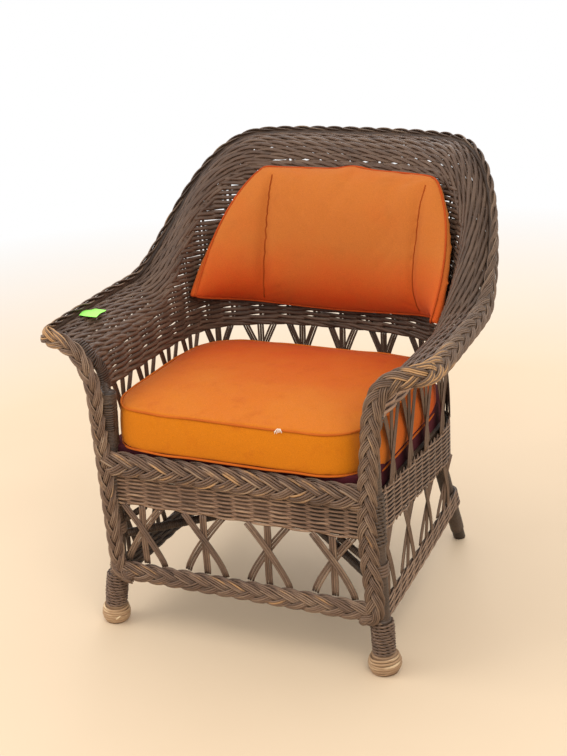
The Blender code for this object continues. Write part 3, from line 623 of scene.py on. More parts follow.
@dataclass(frozen=True)
class ClothFinish:
    """Faded orange cotton velour, with patches of painted sheen on its nap, and soiled in patches.

    The colour goes from near to far along an axis, 1 for depth or 2 for height, between two places on it.
    Where the axis is depth, the faces that look forwards take the front colour as painted light.
    """

    name: str
    front: Colour
    near: Colour
    far: Colour
    fade_from: tuple[float, float]
    axis: int
    rib: float = 0.0016
    sheen: Colour = (1.0, 0.62, 0.35)

    def material(self) -> bpy.types.Material:
        """The node material, with colours by place on the cushion, painted light on faces that look forwards,
        a soft nap with patches of painted sheen, and a fine rib.
        """
        g = new_graph(self.name)
        place = g.object_place()
        coordinates = g.parts(place)
        cloud = g.noise(place, 7.0, 3.0, 0.55)
        nap = g.noise(place, 60.0, 3.0, 0.6)
        fibre = g.noise(place, 900.0, 2.0, 0.6)
        share = g.spread(coordinates[self.axis], *self.fade_from)
        share = g.plus(share, g.spread(cloud, 0.3, 0.7, -0.16, 0.16))
        colour = g.mix(g.spread(share, 0.0, 1.0), self.near, self.far)
        facing = g.parts(g.add("ShaderNodeNewGeometry").outputs["Normal"])
        if self.axis == 1:
            # Painted light: faces that look forwards are mixed towards the brighter front colour.
            front_lit_share = g.spread(g.times(facing[1], -1.0), 0.35, 0.80)
            colour = g.mix(front_lit_share, colour, self.front)
        soil = g.spread(g.noise(place, 22.0, 4.0, 0.65), 0.55, 0.85, 0.0, 0.35)
        colour = g.mix(soil, colour, darker(self.far, 0.62))
        # Painted sheen: patches of the nap are mixed towards a slightly brighter copy of the front colour.
        colour = g.mix(g.spread(nap, 0.35, 0.65, 0.0, 0.10), colour, darker(self.front, 1.05))
        fleck = g.spread(fibre, 0.3, 0.7, 0.80, 1.10)
        flecks = g.add("ShaderNodeVectorMath", {0: colour, 3: fleck}, operation="SCALE").outputs[0]
        g.put(g.shader.inputs["Base Color"], flecks)
        g.put(g.shader.inputs["Roughness"], g.spread(nap, 0.3, 0.7, 0.82, 0.95))
        rib = g.math("SINE", g.times(coordinates[0], FULL_TURN / self.rib))
        fine = g.bump(g.plus(g.times(rib, 0.25), g.times(fibre, 0.8)), 0.35, 0.0006)
        crease = g.bump(g.noise(place, 24.0, 3.0, 0.55), 0.20, 0.004, fine)
        g.put(g.shader.inputs["Normal"], crease)
        g.shader.inputs["Sheen Weight"].default_value = 0.06
        g.shader.inputs["Sheen Roughness"].default_value = 0.45
        g.shader.inputs["Sheen Tint"].default_value = (*self.sheen, 1.0)
        g.shader.inputs["Specular IOR Level"].default_value = 0.12
        return g.owner


@dataclass(frozen=True)
class PlainFinish:
    """A dull surface with mottled colour and a fine grain, for rods, deck cloth, thread, the dark lines of
    painted shade along seams, and paper.
    """

    name: str
    colour: Colour
    second: Colour
    roughness: float
    grain: float
    grain_depth: float = 0.0005
    speckle: float = 0.45
    specular: float = 0.4

    def material(self) -> bpy.types.Material:
        """The node material: two colours in clouds, with grain in the bump."""
        g = new_graph(self.name)
        place = g.object_place()
        grain = g.noise(place, self.grain, 3.0, 0.6)
        cloudy = g.spread(g.noise(place, 14.0, 4.0, 0.6), 0.3, 0.7, 0.0, 1.0 - self.speckle)
        share = g.plus(cloudy, g.spread(grain, 0.3, 0.7, 0.0, self.speckle))
        g.put(g.shader.inputs["Base Color"], g.mix(share, self.colour, self.second))
        rough = g.spread(grain, 0.3, 0.7, self.roughness - 0.06, self.roughness + 0.06)
        g.put(g.shader.inputs["Roughness"], rough)
        g.put(g.shader.inputs["Normal"], g.bump(grain, 0.4, self.grain_depth))
        g.shader.inputs["Specular IOR Level"].default_value = self.specular
        return g.owner


class Finishes:
    """All materials of the chair, made once."""

    def __init__(self) -> None:
        """Makes them."""
        tan = rgb(200, 152, 98)
        brown = (rgb(62, 45, 34), rgb(126, 97, 77), rgb(186, 152, 122), tan)
        # A lighter copy of the brown stain: painted light on the wall, which lies in the cushions' shade, and
        # on the flange, which is lit from above.
        pale = (rgb(84, 61, 47), rgb(168, 131, 106), rgb(226, 190, 158), tan)
        thick = (rgb(70, 51, 39), rgb(142, 110, 88), rgb(206, 172, 140), tan)
        deep = (rgb(44, 31, 24), rgb(92, 70, 54), rgb(140, 112, 90), tan)
        cane = (rgb(48, 35, 27), rgb(98, 76, 60), rgb(148, 120, 96), tan)
        bare = (rgb(160, 120, 88), rgb(216, 176, 132), rgb(236, 206, 162), rgb(244, 220, 180))
        self.reed = ReedFinish("stained_reed", brown).material()
        self.fine = ReedFinish("stained_fine_reed", brown, ridges=2).material()
        self.plait = ReedFinish("stained_plait_reed", thick, ridges=0).material()
        # The wall panel takes the lighter copy: painted light.
        self.wall = ReedFinish("faded_fine_reed", pale, ridges=2).material()
        self.edge = ReedFinish("wrapped_edge", deep, ridges=0).material()
        # The flange takes the lighter copy too: painted light.
        self.flange = ReedFinish("faded_reed", pale).material()
        self.cane = ReedFinish("stained_cane_wrap", cane, ridges=0, streak_rate=14.0).material()
        self.foot = ReedFinish("rubbed_foot_reed", bare, ridges=0, roughness=0.7, wear_bias=0.10).material()
        # The seat's first colour is painted light on its front faces.
        self.seat = ClothFinish(
            "orange_seat_velour", rgb(190, 108, 14), rgb(188, 104, 34), rgb(182, 60, 14), (-0.34, 0.10), 1
        ).material()
        self.back = ClothFinish(
            "orange_back_velour", rgb(180, 106, 40), rgb(192, 68, 20), rgb(178, 100, 42), (0.54, 0.68), 2
        ).material()
        self.rod, self.canvas, self.seat_piping, self.seam, self.back_piping, self.thread, self.paper = (
            PlainFinish(*values).material()
            for values in (
                ("bent_rod_wood", rgb(88, 66, 48), rgb(58, 42, 32), 0.62, 160.0),
                ("maroon_deck_canvas", rgb(84, 28, 36), rgb(58, 18, 26), 0.92, 900.0, 0.0004, 0.5, 0.2),
                ("orange_seat_piping", rgb(186, 96, 22), rgb(160, 72, 14), 0.9, 700.0, 0.0003, 0.5, 0.2),
                # Darker than the cloth: painted shade along the back cushion's seams.
                ("dark_seam_thread", rgb(150, 66, 20), rgb(126, 50, 14), 0.95, 500.0, 0.0002, 0.0, 0.1),
                ("orange_back_piping", rgb(176, 74, 20), rgb(150, 52, 12), 0.9, 700.0, 0.0003, 0.5, 0.2),
                ("loose_white_thread", rgb(238, 232, 220), rgb(214, 205, 190), 0.9, 900.0),
                ("green_paper", rgb(150, 240, 96), rgb(164, 250, 112), 0.75, 500.0, 0.0001),
            )
        )


@dataclass
class Part:
    """A sub-assembly of the chair, with the finishes that it takes and its source of unevenness."""

    finishes: Finishes
    rng: Rng


# Plan of the seat and of the rim, each a U that is open to the front
@dataclass(frozen=True)
class Plan:
    """A U in plan: straight sides from the front to a bend, and a superellipse round each back corner."""

    half_width: float
    front: float
    bend: float
    back: float
    corner: float

    def read(self, shares: Array, shift: float = 0.0) -> tuple[Array, Array]:
        """Points and outward directions at shares of the U's length, from its left end to its right one.

        Args:
            shares: places along the U from 0 to 1, of any shape.
            shift: distance to move the points outwards.

        Returns:
            Points and directions, each with a last axis of x and y.
        """
        turn = np.linspace(0, math.pi / 2, 80)
        corner_x = self.half_width * np.cos(turn) ** (2 / self.corner)
        corner_y = self.bend + (self.back - self.bend) * np.sin(turn) ** (2 / self.corner)
        half_x = np.concatenate([[self.half_width], corner_x])
        half_y = np.concatenate([[self.front], corner_y])
        x = np.concatenate([-half_x, half_x[-2::-1]])
        y = np.concatenate([half_y, half_y[-2::-1]])
        length = np.concatenate([[0], np.cumsum(np.hypot(np.diff(x), np.diff(y)))])

        def at_length(at: Array) -> Array:
            """Points at distances along the U."""
            return np.stack([np.interp(at, length, x), np.interp(at, length, y)], -1)

        at = np.asarray(shares, float) * length[-1]
        step = length[-1] / 200
        way = unit(at_length(np.minimum(at + step, length[-1])) - at_length(np.maximum(at - step, 0)))
        out = np.stack([-way[..., 1], way[..., 0]], -1)
        return at_length(at) + out * shift, out

    def length(self) -> float:
        """Length of the U."""
        flat, _ = self.read(np.linspace(0, 1, 801))
        return float(path_length(flat)[-1])


SEAT_PLAN = Plan(half_width=0.283, front=-0.270, bend=0.100, back=0.285, corner=2.8)
RIM_PLAN = Plan(half_width=0.394, front=-0.270, bend=-0.206, back=0.446, corner=3.2)
RIM_RISE = (0.33, 0.76)
RIM_INSET = 0.0206
SKIRT_PLAN = Plan(half_width=0.283, front=-0.2532, bend=0.100, back=0.285, corner=2.8)
SEAT_FRONT = -0.270
FRONT_FACE_Y = -0.278
SKIRT_BOTTOM = 0.270
POST_RADIUS = 0.0165
REAR_LEG_X = 0.246
ROD_HEIGHT = 0.330
DECK_BOTTOM = 0.3413
DECK_TOP = 0.3913
BAND_START = -0.2467
BAND_STOP = 0.245
LATTICE_TOP = 0.2697
BOTTOM_PLAIT_TOP = 0.1473


def skirt_edges(y: Array) -> tuple[Array, Array]:
    """Lower and upper edge of the round skirt at depths y. It has sunk behind the posts.

    Args:
        y: the depths.

    Returns:
        The two heights at each.
    """
    sag = np.clip((y - SKIRT_PLAN.front) / 0.300, 0, 1)
    return blend(SKIRT_BOTTOM, 0.255, sag), blend(0.353, 0.335, sag)


def rear_leg_y(height: Array | float) -> Array | float:
    """Middle of a rear leg, which is raked."""
    return 0.302 - 0.5 * height


def to_back(shares: Array) -> Array:
    """0 at either front end of a U and 1 at the middle of its back."""
    return 1 - np.abs(2 * np.asarray(shares, float) - 1)


def back_rise(shares: Array) -> Array:
    """How far the rim has climbed from the arm to the top of the back."""
    return smooth_step((to_back(shares) - RIM_RISE[0]) / (RIM_RISE[1] - RIM_RISE[0]))


def rim_line(shares: Array) -> Array:
    """Middle line of the rim: flat arms that climb slightly, then a soft step up to the back.

    Args:
        shares: places along the U.

    Returns:
        Points with a last axis of x, y and z.
    """
    flat, _ = RIM_PLAN.read(shares)
    climb = 0.014 * np.minimum(to_back(shares) / RIM_RISE[0], 1)
    height = blend(0.602 + climb, 0.862, back_rise(shares))
    return np.concatenate([flat, height[..., None]], -1)


def wall_bottom(shares: Array) -> Array:
    """Height of the wall's lower edge."""
    return blend(0.492, 0.472, back_rise(shares))


Sheet = Callable[[Array, Array], Array]
"""A surface: points shaped (..., 3) from two arrays of places of one shape."""


def wall_sheet(shares: Array, heights: Array) -> Array:
    """Middle surface of the wall of back and arms.

    Each upright section is a quadratic curve from the lattice top past the fold to the rim, so a point is
    (1-v)^2 low + 2v(1-v) fold + v^2 high. Below the arm the front end stands back behind the post.

    Args:
        shares: places along the U.
        heights: places up the section, from 0 to 1, of the same shape.

    Returns:
        Points with a last axis of x, y and z.
    """
    s = np.clip(np.asarray(shares, float), 0, 1)
    rise = back_rise(s)
    flat, out = SEAT_PLAN.read(s)
    low = np.concatenate([flat, wall_bottom(s)[..., None]], -1)
    fold_flat = flat + out * (0.025 * rise)[..., None]
    fold = np.concatenate([fold_flat, blend(0.592, 0.870, rise)[..., None]], -1)
    rim = rim_line(s)
    along = unit(rim_line(np.minimum(s + 0.004, 1)) - rim_line(np.maximum(s - 0.004, 0)))
    way = unit(rim - fold)
    square = np.sqrt(1 - np.sum(way * along, axis=-1, keepdims=True) ** 2)
    high = rim - way * RIM_INSET / square
    v = np.asarray(heights, float)[..., None]
    curve = (1 - v) ** 2 * low + 2 * v * (1 - v) * fold + v**2 * high
    setback = 0.020 * np.clip((0.36 - v) / 0.08, 0, 1)
    near = np.clip((SEAT_FRONT + 0.060 - curve[..., 1:2]) / 0.060, 0, 1)
    curve[..., 1:2] += setback * near
    return curve


def sheet_frame(
    sheet: Sheet, s: Array, t: Array, step: tuple[float, float] = (0.004, 0.01)
) -> tuple[Array, ...]:
    """Points of a surface and its outward directions, by small steps either way.

    Args:
        sheet: the surface.
        s: places along it.
        t: places up it.
        step: the two small steps.

    Returns:
        Points and unit outward directions, which are up crossed with along.
    """
    ds, dt = step
    along = sheet(np.minimum(s + ds, 1), t) - sheet(np.maximum(s - ds, 0), t)
    up = sheet(s, np.minimum(t + dt, 1)) - sheet(s, np.maximum(t - dt, 0))
    return sheet(s, t), unit(np.cross(up, along))


@dataclass(frozen=True)
class Twine:
    """Proportions of one row in which several strands wind round each other like a rope."""

    strands: int
    sway: float
    depth: float
    half_width: float
    half_depth: float
    sides: int = 6
    hand: int = 1

    def wind(
        self, base: Array, out: Array, turns: Array, rng: Rng, wear: float = 0.0
    ) -> Reeds:
        """Strands round a middle line: sway times cosine up the surface and depth times sine outwards.

        Args:
            base: points of the row's middle line, shaped (n, 3).
            out: outward directions there.
            turns: phase at each point, in whole waves.
            rng: source of unevenness.
            wear: how rubbed the row is.

        Returns:
            One reed for each strand.
        """
        many, steps = self.strands, len(base)
        side = unit(np.cross(out, tangents(base)))
        phase = FULL_TURN * (turns[None, :] + np.arange(many)[:, None] / many)
        sway = self.hand * self.sway * np.cos(phase) + wander(rng, many, steps, 22) * 0.0004
        crown = np.sin(phase)
        points = base[None] + side[None] * sway[..., None] + out[None] * (self.depth * crown)[..., None]
        tone = 0.5 + 0.12 * rng.standard_normal((many, 1)) + 0.10 * wander(rng, many, steps, 30)
        return Reeds(
            points, np.broadcast_to(out, points.shape), self.half_width, self.half_depth,
            tone + 0.05 * crown, wear + 0.10 * crown, self.sides,
        )


def flattened(wave: Array) -> Array:
    """A wave with broader tops: its size to the power 0.65, with its sign."""
    return np.sign(wave) * np.abs(wave) ** 0.65


def over_under(
    base: Array, out: Array, turns: Array, depth: float, half: float, rng: Rng,
    sides: int = 5,
) -> Reeds:
    """Plain weave: each row goes over and under the stakes as a flattened sine of its phase.

    Args:
        base: middle lines of the rows, shaped (rows, n, 3).
        out: outward directions there.
        turns: phase of each point, in whole waves.
        depth: how far a row goes out from the middle.
        half: half its width.
        rng: source of unevenness.
        sides: sides of the reed's section.

    Returns:
        One reed for each row.
    """
    flat_topped = flattened(np.sin(FULL_TURN * turns))
    uneven = wander(rng, base.shape[0], base.shape[1], 20)
    points = base + out * (depth * flat_topped)[..., None]
    points[..., 2] += 0.0004 * uneven
    tone = 0.48 + 0.13 * rng.standard_normal((base.shape[0], 1)) + 0.09 * uneven
    return Reeds(points, out, half, half * 0.78, tone + 0.05 * flat_topped, 0.08 * flat_topped, sides)


@dataclass(frozen=True)
class Plait:
    """A flat plait of an odd number of bundles, each of a few reeds."""

    width: float
    depth: float
    leaf: float
    reeds: int
    reed_width: float
    bundles: int = 5
    steps: int = 26
    sides: int = 6
    swing: float = 1.16
    arch: float = 0.0012

    def lay(
        self, path: Array, across: Array, out: Array, rng: Rng,
        narrow: Callable[[Array], Array] | None = None,
        wear: Callable[[Array, Array], Array] | None = None,
        leaves: Callable[[Array], Array] | None = None,
        curl: float = 0.0,
    ) -> Reeds:
        """Bundles along a path: bundle k is at A sin p across it and B sin 2p outwards, where p is the share
        of a wave at that point plus k parts of a wave. So each bundle lies on top from an edge to the middle,
        and below from there to the other edge. Its reeds lie side by side, square to its own run.

        Args:
            path: middle line, shaped (n, 3).
            across: directions of the plait's width at the path's points.
            out: directions of its front.
            rng: source of unevenness.
            narrow: factor on the width by share of the path.
            wear: how rubbed it is, by share of the path and by place outwards from -1 to 1.
            leaves: factor on the length of a leaf by share of the path.
            curl: how far the edges fall back, in metres at the full half width.

        Returns:
            One reed for each reed of each bundle.
        """
        length = path_length(path)[-1]
        wave_length = self.bundles * self.leaf
        count = max(8, int(length / wave_length * self.steps))
        path, across, out = resample(path, count, across, out)
        across, out = unit(across), unit(out)
        share = np.linspace(0, 1, count)
        bundle = self.reeds * self.reed_width / 2
        factor = np.ones(count) if narrow is None else narrow(share)
        reach = (self.width / 2 * self.swing - bundle * 0.92) * factor
        rate = 1 / (wave_length * (np.ones(count) if leaves is None else leaves(share)))
        waves = np.concatenate([[0.0], np.cumsum((rate[1:] + rate[:-1]) / 2) * length / (count - 1)])
        phase = FULL_TURN * (waves[None] + np.arange(self.bundles)[:, None] / self.bundles)
        sway = reach * np.sin(phase)
        side_up = flattened(np.sin(2 * phase))
        lift = self.depth * side_up
        centre = path[None] + across[None] * sway[..., None] + out[None] * lift[..., None]
        way = tangents(centre)
        square = unit(np.cross(way, np.broadcast_to(out, way.shape)))
        place = (np.arange(self.reeds) - (self.reeds - 1) / 2) * self.reed_width
        many = self.bundles * self.reeds
        jitter = 1 + 0.10 * wander(rng, many, count, length * 8).reshape(self.bundles, self.reeds, count)
        spread = place[None, :, None] * jitter * (0.55 + 0.45 * factor)
        points = centre[:, None] + square[:, None] * spread[..., None]
        arch = self.arch * (1 - (place / bundle) ** 2)
        points = points + out[None, None] * arch[None, :, None, None]
        # The swing is wider than the plait, and both edges hold the reeds back, so that they run along them.
        half_width = (self.width / 2 * factor)[:, None]
        beside = np.sum((points - path) * across, axis=-1, keepdims=True) / half_width
        kept = beside / (1 + np.abs(beside) ** 5) ** 0.2
        points = points + across * (kept - beside) * half_width - out * curl * kept**2
        points = points.reshape(many, count, 3)
        height = np.repeat(side_up, self.reeds, axis=0)
        tone = 0.50 + 0.20 * rng.standard_normal((many, 1)) + 0.12 * wander(rng, many, count, length * 10)
        rubbed = 0.05 * height if wear is None else wear(share[None], height)
        # Some reeds have lost more of their stain than others.
        rubbed = rubbed * 2.2 * rng.random((many, 1)) ** 1.6
        rubbed = rubbed * (1 + 0.5 * wander(rng, many, count, length * 6))
        half = self.reed_width / 2
        out = np.broadcast_to(out, points.shape)
        return Reeds(points, out, half * 0.96, half * 0.86, tone + 0.05 * height, rubbed, self.sides)


def wrap(
    path: Array, radius: Array | float, pitch: float, half_depth: float, rng: Rng,
    around: int = 10, side: tuple[float, float, float] = (0, 1, 0), wear: float = 0.0, squash: float = 1.0,
    sides: int = 4, fill: float = 0.62,
) -> Reeds:
    """One long reed wound round a path as a helix.

    A point is the path's point plus the radius times cosine and sine of the turn, on two directions square
    to the path.

    Args:
        path: the pole's middle line.
        radius: the pole's radius, alone or by point of the path.
        pitch: distance from turn to turn.
        half_depth: half the reed's thickness.
        rng: source of unevenness.
        around: points for each turn.
        side: a direction that isn't along the path.
        wear: how rubbed the reed is.
        squash: factor on the helix's second direction.
        sides: sides of the reed's section.
        fill: half width of the reed as a share of the pitch.

    Returns:
        The reed.
    """
    length = path_length(path)[-1]
    count = max(12, int(length / pitch * around))
    spine = resample(path, count)[0]
    along = tangents(spine[None])[0]
    first = unit(np.cross(along, np.asarray(side, float)))
    second = np.cross(along, first)
    if np.ndim(radius):
        old = np.linspace(0, 1, len(radius))
        radius = np.interp(np.linspace(0, 1, count), old, radius)
    angle = FULL_TURN * np.linspace(0, length / pitch, count)
    way = first * np.cos(angle)[:, None] + second * (squash * np.sin(angle))[:, None]
    grown = np.broadcast_to(radius, (count,)) + half_depth + 0.0002 * wander(rng, 1, count, count / 14)[0]
    points = spine + way * grown[:, None]
    tone = 0.5 + 0.14 * wander(rng, 1, count, count / around / 1.5)
    return Reeds(points[None], unit(way)[None], pitch * fill, half_depth * 1.3, tone, wear, sides)


def rod(
    path: Array, radius: Array | float, sides: int = 12, tone: float = 0.25, wear: float = 0.0
) -> Reeds:
    """A plain round rod.

    Args:
        path: its middle line.
        radius: its radius.
        sides: sides of its section.
        tone: its shade.
        wear: how rubbed it is.

    Returns:
        The rod, as one thick reed.
    """
    steep = np.abs(tangents(path[None])[0][:, 2]) > 0.8
    out = spots(0.0, steep, ~steep)
    return Reeds(path[None], out[None], radius, radius, tone, wear, sides, end=1.0)


@dataclass
class WovenWall(Part):
    """The back and both arms: twined rows from the lattice to the fold, then waled rows out to the rim."""

    flange: float = 0.080
    flange_rows: int = 5
    row_pitch: float = 0.0102
    first_row: float = 0.016
    roll: float = 0.0055
    stakes: int = 25
    wrap_foot: float = 0.425
    table: Array = field(init=False)

    def __post_init__(self) -> None:
        """Measures each upright section, so that rows can lie at a distance from either edge."""
        self.grid_s = np.linspace(0, 1, 401)
        self.grid_v = np.linspace(0, 1, 61)
        points = wall_sheet(*np.meshgrid(self.grid_s, self.grid_v, indexing="ij"))
        self.table = np.stack([path_length(section) for section in points])

    def section(self, s: Array) -> Array:
        """Length of the wall's upright section."""
        return np.interp(s, self.grid_s, self.table[:, -1])

    def height_at(self, s: Array, distance: Array) -> Array:
        """Place up the section at a distance from the lower edge, read from the table column by column.

        Args:
            s: places along the wall.
            distance: distances from its lower edge there.

        Returns:
            Places from 0 to 1.
        """
        place = np.clip(s, 0, 1) * (len(self.grid_s) - 1)
        column = np.clip(place.astype(int), 0, len(self.grid_s) - 2)
        part = (place - column)[:, None]
        rows = self.table[column] * (1 - part) + self.table[column + 1] * part
        under = np.clip((rows <= distance[:, None]).sum(axis=1) - 1, 0, len(self.grid_v) - 2)
        index = np.arange(len(s))
        low, high = rows[index, under], rows[index, under + 1]
        share = np.clip((distance - low) / np.maximum(high - low, 1e-9), 0, 1)
        return self.grid_v[under] + share * (self.grid_v[1] - self.grid_v[0])

    def line(self, s: Array, distance: Array) -> tuple[Array, Array]:
        """Points and outward directions at distances from the lower edge."""
        return sheet_frame(wall_sheet, s, self.height_at(s, distance))

    def panel_rows(self, mesh: PieceMesh) -> None:
        """Pairs of strands that cross between the stakes, in rows that end where they reach the flange."""
        twine = Twine(2, 0.0015, 0.0031, 0.0045, 0.0019)
        steps_of_wave = 14
        s_half = np.linspace(0, 0.5, 200)
        panel = self.section(s_half) - self.flange
        for row in range(int((panel.max() - 0.010) / self.row_pitch)):
            distance = self.first_row + row * self.row_pitch
            inside = panel >= distance - 0.004
            if not inside.any():
                break
            first = s_half[np.argmax(inside)]
            steps = int((1 - 2 * first) * self.stakes / 2 * steps_of_wave)
            s = np.linspace(first, 1 - first, max(steps, 16))
            uneven = 0.0007 * wander(self.rng, 1, len(s), 9)[0]
            base, out = self.line(s, np.full(len(s), distance) + uneven)
            mesh.add_reeds(twine.wind(base, out, s * self.stakes / 2, self.rng))

    def lower_roll(self, mesh: PieceMesh) -> None:
        """The thick three-strand row along the wall's lower edge."""
        s = np.linspace(0.001, 0.999, int(self.stakes / 3 * 16))
        base, out = self.line(s, np.full(len(s), self.roll))
        twine = Twine(3, 0.0036, 0.0034, 0.0046, 0.0028)
        mesh.add_reeds(twine.wind(base, out, s * self.stakes / 3, self.rng, wear=0.06))

    def stake_reeds(self, mesh: PieceMesh) -> None:
        """A pair of stakes at every crossing, from the lower edge to the rim."""
        middle = (np.arange(self.stakes) + 0.5) / self.stakes
        s = np.sort(np.concatenate([middle - 0.0034, middle + 0.0034]))
        base, out = sheet_frame(wall_sheet, *np.meshgrid(s, np.linspace(0.0, 0.99, 26), indexing="ij"))
        mesh.add_reeds(Reeds(base, out, 0.0036, 0.0012, 0.32, 0.0, 5))

    def flange_wales(self, mesh: PieceMesh) -> None:
        """Three-strand wale rows of long slanting floats, from the fold to the rim."""
        pitch = self.flange / self.flange_rows
        waves = 2 * self.stakes / 3
        steps = int(waves * 16)
        s = np.linspace(0.0, 1.0, steps)
        twine = Twine(3, pitch * 0.34, 0.0030, pitch * 0.272, 0.0020)
        for row in range(self.flange_rows + 2):
            from_rim = -0.005 + row * pitch
            distance = self.section(s) - from_rim + 0.0008 * wander(self.rng, 1, steps, 8)[0]
            base, out = self.line(s, np.minimum(distance, self.section(s) - 0.0005))
            mesh.add_reeds(twine.wind(base, out, s * waves + 0.11 * row, self.rng, wear=0.04))

    def edge_wrap(self, mesh: PieceMesh, side: Side) -> None:
        """Turns of cane round the wall's front end, beside the post's plait.

        The strip runs on down the front of the post's upper end and covers it. Its turns are stretched along
        the wall, so that they are flat.

        Args:
            mesh: takes the reeds.
            side: the side of the chair.
        """
        s = 0.011 if side is Side.LEFT else 0.989
        path, out = sheet_frame(wall_sheet, np.full(30, s), np.linspace(0.0, 0.70, 30))
        z = np.linspace(self.wrap_foot, path[0, 2] - 0.008, 8)
        path = np.concatenate([spots(post_x(z, side), SEAT_FRONT - 0.0095, z), path])
        out = np.concatenate([np.tile(FRONTWARDS, (8, 1)), out])
        path, out = resample(path, 60, out)
        path, out = smoothed(path, 10), smoothed(out, 10)
        mesh.add_reeds(Reeds(path[None], out[None], 0.0125, 0.0050, 0.1, 0.0, 10, end=1.0))
        turns = wrap(path, 0.0058, 0.0046, 0.0012, self.rng, 14, wear=0.02, fill=0.56)
        spine, away = resample(path, turns.points.shape[1], out)
        offset = turns.points[0] - spine
        outwards = away * np.sum(offset * away, -1, keepdims=True)
        stretch = 2.1
        turns.points = (spine + (offset - outwards) * stretch + outwards)[None]
        mesh.add_reeds(turns)

    def build(self) -> None:
        """Makes the wall's pieces."""
        node = "arm_and_back_weave"
        panel = PieceMesh()
        self.panel_rows(panel)
        self.lower_roll(panel)
        self.stake_reeds(panel)
        dress(panel.make("woven_wall_panel", self.finishes.wall), "reed", node)
        for side in Side:
            edge = PieceMesh()
            self.edge_wrap(edge, side)
            dress(edge.make(f"arm_edge_cane_{side.tag}", self.finishes.edge), "reed", node)
        flange = PieceMesh()
        self.flange_wales(flange)
        dress(flange.make("woven_wall_flange", self.finishes.flange), "reed", node)


@dataclass
class LongPlait(Part):
    """One plait: up the left post, over the arm's front end, round the rim and down the right post."""

    tilt: float = math.radians(30)
    core_wide: float = 0.0135
    core_deep: float = 0.0100
    foot: float = 0.125
    plait: Plait = Plait(0.040, 0.0046, 0.0345, 4, 0.0037)

    def half(self, side: Side) -> tuple[Array, Array]:
        """Middle line and front directions from the post's foot to the arm's outer tip.

        Args:
            side: the side of the chair.

        Returns:
            Points and directions.
        """
        share = 0.0 if side is Side.LEFT else 1.0
        outwards = side.value
        z = np.linspace(self.foot, 0.515, 60)
        if side is Side.LEFT:
            x = 0.2615 + 0.046 * (z - 0.140)
        else:
            # The right post has sagged into a slight bow.
            bow = np.sin(math.pi * np.clip((z - 0.13) / 0.28, 0, 1)) ** 2
            x = post_x(z, side) - 0.004 - 0.006 * bow + 0.015 * smooth_step((z - 0.36) / 0.16)
        post = spots(outwards * x, SEAT_FRONT - 0.0215, z)
        # The lower end sweeps inwards under the bottom border.
        end_x = post[0, 0]
        foot = np.array([
            (end_x - outwards * 0.030, SEAT_FRONT - 0.020, self.foot - 0.015),
            (end_x - outwards * 0.012, SEAT_FRONT - 0.023, self.foot - 0.013),
        ])
        edge = wall_sheet(np.full(20, share), np.linspace(0.42, 0.98, 20))
        edge[:, 1] = SEAT_FRONT - np.linspace(0.018, 0.012, 20)
        end = rim_line(np.array([share]))[0]
        tip = np.array([(end[0] - outwards * 0.006, SEAT_FRONT - 0.012, end[2] + 0.003)])
        line = np.concatenate([foot, post, edge, tip])
        return line, np.tile(FRONTWARDS, (len(line), 1))

    def middle(self) -> tuple[Array, Array, Array]:
        """The whole middle line, its across and its front directions."""
        left, left_out = self.half(Side.LEFT)
        right, right_out = self.half(Side.RIGHT)
        s = np.linspace(0.018, 0.982, 600)
        rim = rim_line(s)
        along = tangents(rim[None])[0]
        towards = square_to(rim - wall_sheet(s, np.ones(len(s))), along)
        face = math.cos(self.tilt) * towards + math.sin(self.tilt) * np.cross(along, towards)
        line = np.concatenate([left, rim + face * 0.0020, right[::-1]])
        out = np.concatenate([left_out, face, right_out[::-1]])
        line, out = resample(line, 1100, out)
        line, out = smoothed(line, 36), smoothed(out, 90)
        way = tangents(line[None])[0]
        out = square_to(out, way)
        return line, unit(np.cross(way, out)), out

    def build(self) -> None:
        """Makes the plait's three pieces, which meet at the arm tips, and the rod inside the rim."""
        line, across, out = self.middle()
        at_front = np.nonzero(line[:, 1] < SEAT_FRONT + 0.006)[0]
        gap = int(np.argmax(np.diff(at_front)))
        first, last = at_front[gap] / len(line), at_front[gap + 1] / len(line)

        def on_rim(share: Array, length: float) -> Array:
            """1 on the rim and 0 on the posts, with a soft step of the given length."""
            return smooth_step((share - first) / length) * smooth_step((last - share) / length)

        def near_tip(share: Array, length: float) -> Array:
            """1 at either arm tip, and 0 beyond the given length."""
            return np.clip(1 - np.minimum(np.abs(share - first), np.abs(share - last)) / length, 0, 1)

        def narrow(share: Array) -> Array:
            """The plait is widest at the arm tips, and runs out at its ends."""
            post = blend(0.86, 0.98, smooth_step((share - 0.3) / 0.4))
            ends = smooth_step(np.minimum(share, 1 - share) / 0.012)
            width = blend(post, 1.0, on_rim(share, 0.02)) + 0.12 * near_tip(share, 0.045)
            return width * blend(0.55, 1.0, ends)

        def leaves(share: Array) -> Array:
            """Its leaves are longer on the rim."""
            return blend(0.92, 1.12, on_rim(share, 0.03))

        def rubbed(share: Array, height: Array) -> Array:
            """It is worn most where hands hold the arm tips."""
            return 0.10 * height + 0.42 * near_tip(share, 0.035) + 0.07

        reeds = self.plait.lay(line, across, out, self.rng, narrow, rubbed, leaves, curl=0.006)
        count = reeds.points.shape[1]
        a, b = int(first * count), int(last * count)
        behind = line[:, 1] > SEAT_FRONT + 0.002
        core, core_out = resample(line[behind] - out[behind] * 0.0062, 220, out[behind])
        pieces = (
            ("arm_and_post_plait_left", reeds.cut(0, a + 1), ("post_plait_left", "arm_front_plait_left")),
            ("rim_plait_reeds", reeds.cut(a, b + 1), ("rim_plait",)),
            ("arm_and_post_plait_right", reeds.cut(b, count), ("post_plait_right", "arm_front_plait_right")),
        )
        for name, part, nodes in pieces:
            mesh = PieceMesh()
            mesh.add_reeds(part)
            if name == "rim_plait_reeds":
                rod_inside = Reeds(
                    core[None], core_out[None], self.core_wide, self.core_deep, 0.2, 0.0, 10, end=1.0
                )
                mesh.add_reeds(rod_inside)
            dress(mesh.make(name, self.finishes.plait), "plait", *nodes)


